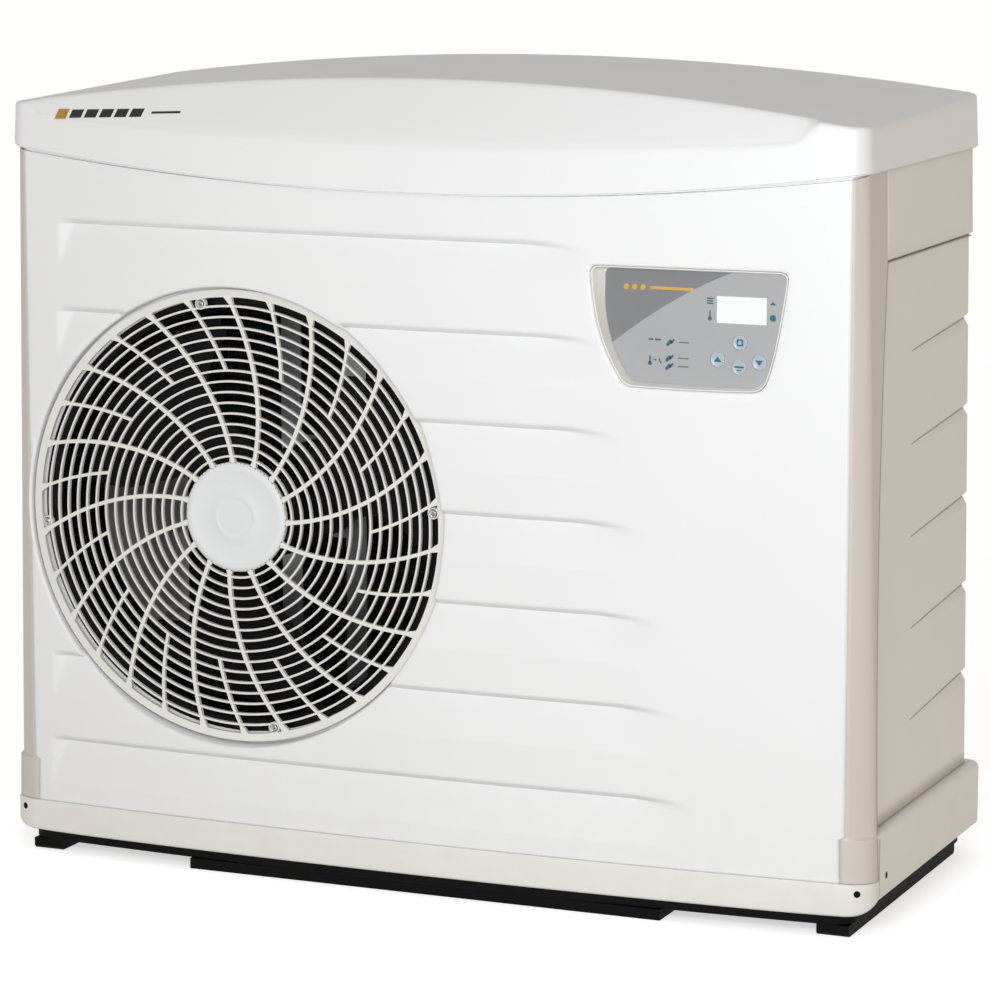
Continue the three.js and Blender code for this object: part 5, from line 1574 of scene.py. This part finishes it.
def make_guard():
    """The wire guard over the coil: a frame with cross bars and fine upright wires"""
    lo, hi = low("coil_guard"), high("coil_guard")
    front, rear = depths("coil_guard")
    bar, edge = 5, 16
    shapes = []
    shapes += [block(lo.x, hi.x, front, rear, z, z + edge) for z in (lo.z, hi.z - edge)]
    shapes += [block(x, x + edge, front, rear, lo.z + edge, hi.z - edge) for x in (lo.x, hi.x - edge)]
    columns, rows = 3, 9
    for i in range(1, rows):
        z = mix(lo.z + edge, hi.z - edge, i / rows) - bar / 2
        shapes.append(block(lo.x + edge, hi.x - edge, front + 0.5, rear - 0.5, z, z + bar))
    for i in range(1, columns):
        x = mix(lo.x + edge, hi.x - edge, i / columns) - bar / 2
        shapes.append(block(x, x + bar, front + 0.5, rear - 0.5, lo.z + edge, hi.z - edge))
    make_piece("guard_frame", joined(*shapes), "guard", stands_for=["coil_guard"],
               sharp=40, bevel=0.8)
    wires = []
    pitch = 9.5
    depth = (front + rear) / 2
    count = int((hi.x - lo.x - 2 * edge) / pitch)
    for i in range(1, count):
        x = mix(lo.x + edge, hi.x - edge, i / count)
        section = circle(x, depth, 0.9, 8)
        wires.append(capped([[(px, d, z) for px, d in section]
                             for z in (lo.z + edge - 2, hi.z - edge + 2)]))
    make_piece("guard_wires", joined(*wires), "guard", sharp=50)


# Fittings at the back

def make_union(name, node_name):
    """A threaded tail with a lobed nut and a sealing face"""
    x, z = middle(node_name).x, middle(node_name).z
    start, reach = depths(node_name)
    nut_radius = high(node_name).x - x
    nut_start, nut_end = CASE_DEPTH + 4, reach - 6
    tail, bore = 31.5, 25
    profile = [(0, start), (tail, start), (tail, CASE_DEPTH - 2), (tail, nut_start - 0.1),
               (39.5, nut_start), (nut_radius - 0.8, nut_start + 0.8), (nut_radius, nut_start + 2.5),
               (nut_radius, nut_end - 2.5), (nut_radius - 0.8, nut_end - 0.8), (38.5, nut_end),
               (tail, nut_end), (tail, reach - 1), (tail - 1, reach), (bore + 1, reach),
               (bore, reach - 1), (bore, start + 10), (0, start + 10)]

    def lobed(radius, depth, angle):
        if radius < 38.6 or not nut_start <= depth <= nut_end:
            return radius
        return radius - 2.6 * clamp01(0.5 - 1.6 * math.cos(12 * angle)) * clamp01((radius - 38.4) / 1.5)
    make_piece(name, turned(profile, x, z, 240, lobed), "union",
               stands_for=[node_name])
    collar = [(33.6, CASE_DEPTH + 0.2), (40.5, CASE_DEPTH + 0.2), (41.5, CASE_DEPTH + 1.2),
              (40.5, CASE_DEPTH + 2.6), (34.5, CASE_DEPTH + 3), (33.6, CASE_DEPTH + 2.2)]
    make_piece(f"{name}_collar", turned_ring(collar, x, z, 96), "rubber", sharp=40)


def make_gland():
    """A gland with a hexagonal body and a ridged cap"""
    x, z = middle("cable_gland").x, middle("cable_gland").z
    face = CASE_DEPTH + GAP
    tip = depths("cable_gland")[1]
    profile = [(5, face - 14), (10.7, face - 14), (10.7, face - 0.1), (14.6, face), (15, face + 1),
               (15, face + 6), (14.4, face + 7), (12.4, face + 7.4), (12.4, face + 8.6), (13.6, face + 9),
               (13.6, tip - 8), (12.6, tip - 4.5), (10, tip - 1.2), (8, tip), (5.8, tip), (5, tip - 0.8)]

    def hexagon(radius, depth, angle):
        if radius < 14.5:
            ridged = 13 < radius < 14 and face + 8.8 < depth < tip - 7.5
            return radius - (0.7 * clamp01(0.5 - 1.5 * math.cos(18 * angle)) if ridged else 0)
        return min(radius, hexagon_reach(angle, 13.2))
    make_piece("gland_body", turned_ring(profile, x, z, 144, hexagon), "rubber",
               stands_for=["cable_gland"])


# Pieces kept from the frame

def dress(node_name, material, edge=0.0, sharp=35):
    """A frame piece keeps its shape and takes a finish, softened edges and smooth shading"""
    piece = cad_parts[node_name]
    piece.data.materials.clear()
    piece.data.materials.append(MATERIALS[material])
    piece.data.shade_smooth()
    piece.data.set_sharp_from_angle(angle=math.radians(sharp))
    if edge:
        add_bevel(piece, edge, 2)


def dress_inner_pieces():
    finishes = {
        "zinc": ["motor_bracket", "partition_plate", "electrical_box", "electrical_cover"],
        "copper": ["coil_header", "discharge_pipe", "suction_pipe", "condenser_pipe", "liquid_pipe",
                   "coil_feed_pipe", "filter_drier"],
        "brass": ["reversing_valve", "expansion_valve"],
        "compressor": ["compressor", "accumulator"],
        "rubber": [f"compressor_grommet_{i}" for i in (1, 2, 3)],
        "board": ["control_board"],
        "motor": ["contactor", "condenser_shell"],
        "fins": ["run_capacitor"],
        "black": ["condensate_drain"],
    }
    for material, names in finishes.items():
        for name in names:
            dress(name, material)


# Stage

CAMERA_PLACE = (1800.6, -4045.1, 1195.3)
CAMERA_TILT = 9.5305
CAMERA_TURN = 22.951
CAMERA_LENS = 147.6
SENSOR_WIDTH = 36
FLOOR_REACH = 30
FLOOR_GLOW = 0.58
FRONT_TINT = (1.02, 1.08, 1.16)
SIDE_TINT = (0.9, 0.75, 0.57)
SKY_LEVELS = (0.06, 0.8, 0.33)


def make_camera():
    data = bpy.data.cameras.new("camera")
    data.lens = CAMERA_LENS
    data.sensor_width = SENSOR_WIDTH
    camera = bpy.data.objects.new("camera", data)
    camera.location = spot(CAMERA_PLACE)
    camera.rotation_euler = (math.radians(90 - CAMERA_TILT), 0, math.radians(CAMERA_TURN))
    bpy.context.scene.collection.objects.link(camera)
    bpy.context.scene.camera = camera


def soft_light(name, place, target, width, height, power, colour):
    data = bpy.data.lights.new(name, "AREA")
    data.shape = "RECTANGLE"
    data.size, data.size_y = width, height
    data.energy = power
    data.color = colour
    lamp = bpy.data.objects.new(name, data)
    lamp.location = place
    lamp.visible_camera = False
    lamp.rotation_euler = (Vector(target) - Vector(place)).to_track_quat("-Z", "Y").to_euler()
    bpy.context.scene.collection.objects.link(lamp)


def make_world():
    """Even surroundings, brightest at eye level, darker above and below, and warm to the sides"""
    world = bpy.data.worlds.new("studio")
    world.use_nodes = True
    tree = world.node_tree
    place = node(tree, "ShaderNodeTexCoord")
    split = node(tree, "ShaderNodeSeparateXYZ")
    tree.links.new(place.outputs["Generated"], split.inputs["Vector"])
    height = node(tree, "ShaderNodeMapRange")
    height.inputs["From Min"].default_value = -1
    tree.links.new(split.outputs["Z"], height.inputs["Value"])
    sideways = node(tree, "ShaderNodeMath", operation="ABSOLUTE")
    tree.links.new(split.outputs["X"], sideways.inputs[0])
    skies = []
    for tint in (FRONT_TINT, SIDE_TINT):
        sky = node(tree, "ShaderNodeValToRGB")
        sky.color_ramp.elements.new(0.5)
        for stop, level in zip(sky.color_ramp.elements, SKY_LEVELS):
            stop.color = (*(level * channel for channel in tint), 1)
        tree.links.new(height.outputs["Result"], sky.inputs["Fac"])
        skies.append(sky.outputs["Color"])
    blend = node(tree, "ShaderNodeMix", data_type="RGBA")
    tree.links.new(sideways.outputs["Value"], blend.inputs["Factor"])
    tree.links.new(skies[0], blend.inputs["A"])
    tree.links.new(skies[1], blend.inputs["B"])
    tree.links.new(blend.outputs["Result"], tree.nodes["Background"].inputs["Color"])
    bpy.context.scene.world = world


def make_stage():
    """Two soft lights, even surroundings and a pale paper floor"""
    make_world()
    soft_light("key", (0.7, -1.9, 0.95), (0.2, 0, 0.5), 1.0, 0.5, 15, (0.96, 0.985, 1.0))
    soft_light("front_fill", (0.6, -6.0, 0.7), (0, 0, 0.45), 3.0, 1.2, 30, (0.97, 0.98, 1))
    mesh = bpy.data.meshes.new("studio_floor")
    corners = [(-FLOOR_REACH, -FLOOR_REACH, 0), (FLOOR_REACH, -FLOOR_REACH, 0),
               (FLOOR_REACH, FLOOR_REACH, 0), (-FLOOR_REACH, FLOOR_REACH, 0)]
    mesh.from_pydata(corners, [], [(0, 1, 2, 3)])
    paper = finish("floor_paper", (246, 246, 244), 0.8, variation=0.02, patch=0.6, grain=60,
                   bump=0.02)
    glow = paper.node_tree.nodes["Principled BSDF"]
    glow.inputs["Emission Color"].default_value = (1, 1, 1, 1)
    glow.inputs["Emission Strength"].default_value = FLOOR_GLOW
    mesh.materials.append(paper)
    floor = bpy.data.objects.new("studio_floor", mesh)
    bpy.context.scene.collection.objects.link(floor)
    floor.visible_diffuse = False
    bpy.context.scene.view_settings.view_transform = "Standard"


make_camera()
make_stage()
make_front_panel()
make_rear_casing()
make_lid()
make_lid_mark()
make_skirt()
make_skirt_details()
make_side_shadow_strips()
make_base()
make_grille()
make_hub_cap()
make_screws()
make_control_housing()
make_overlay()
make_buttons()
make_shroud()
make_motor()
make_impeller()
make_coil()
make_guard()
make_union("inlet_union", "water_inlet_union")
make_union("outlet_union", "water_outlet_union")
make_gland()
dress_inner_pieces()
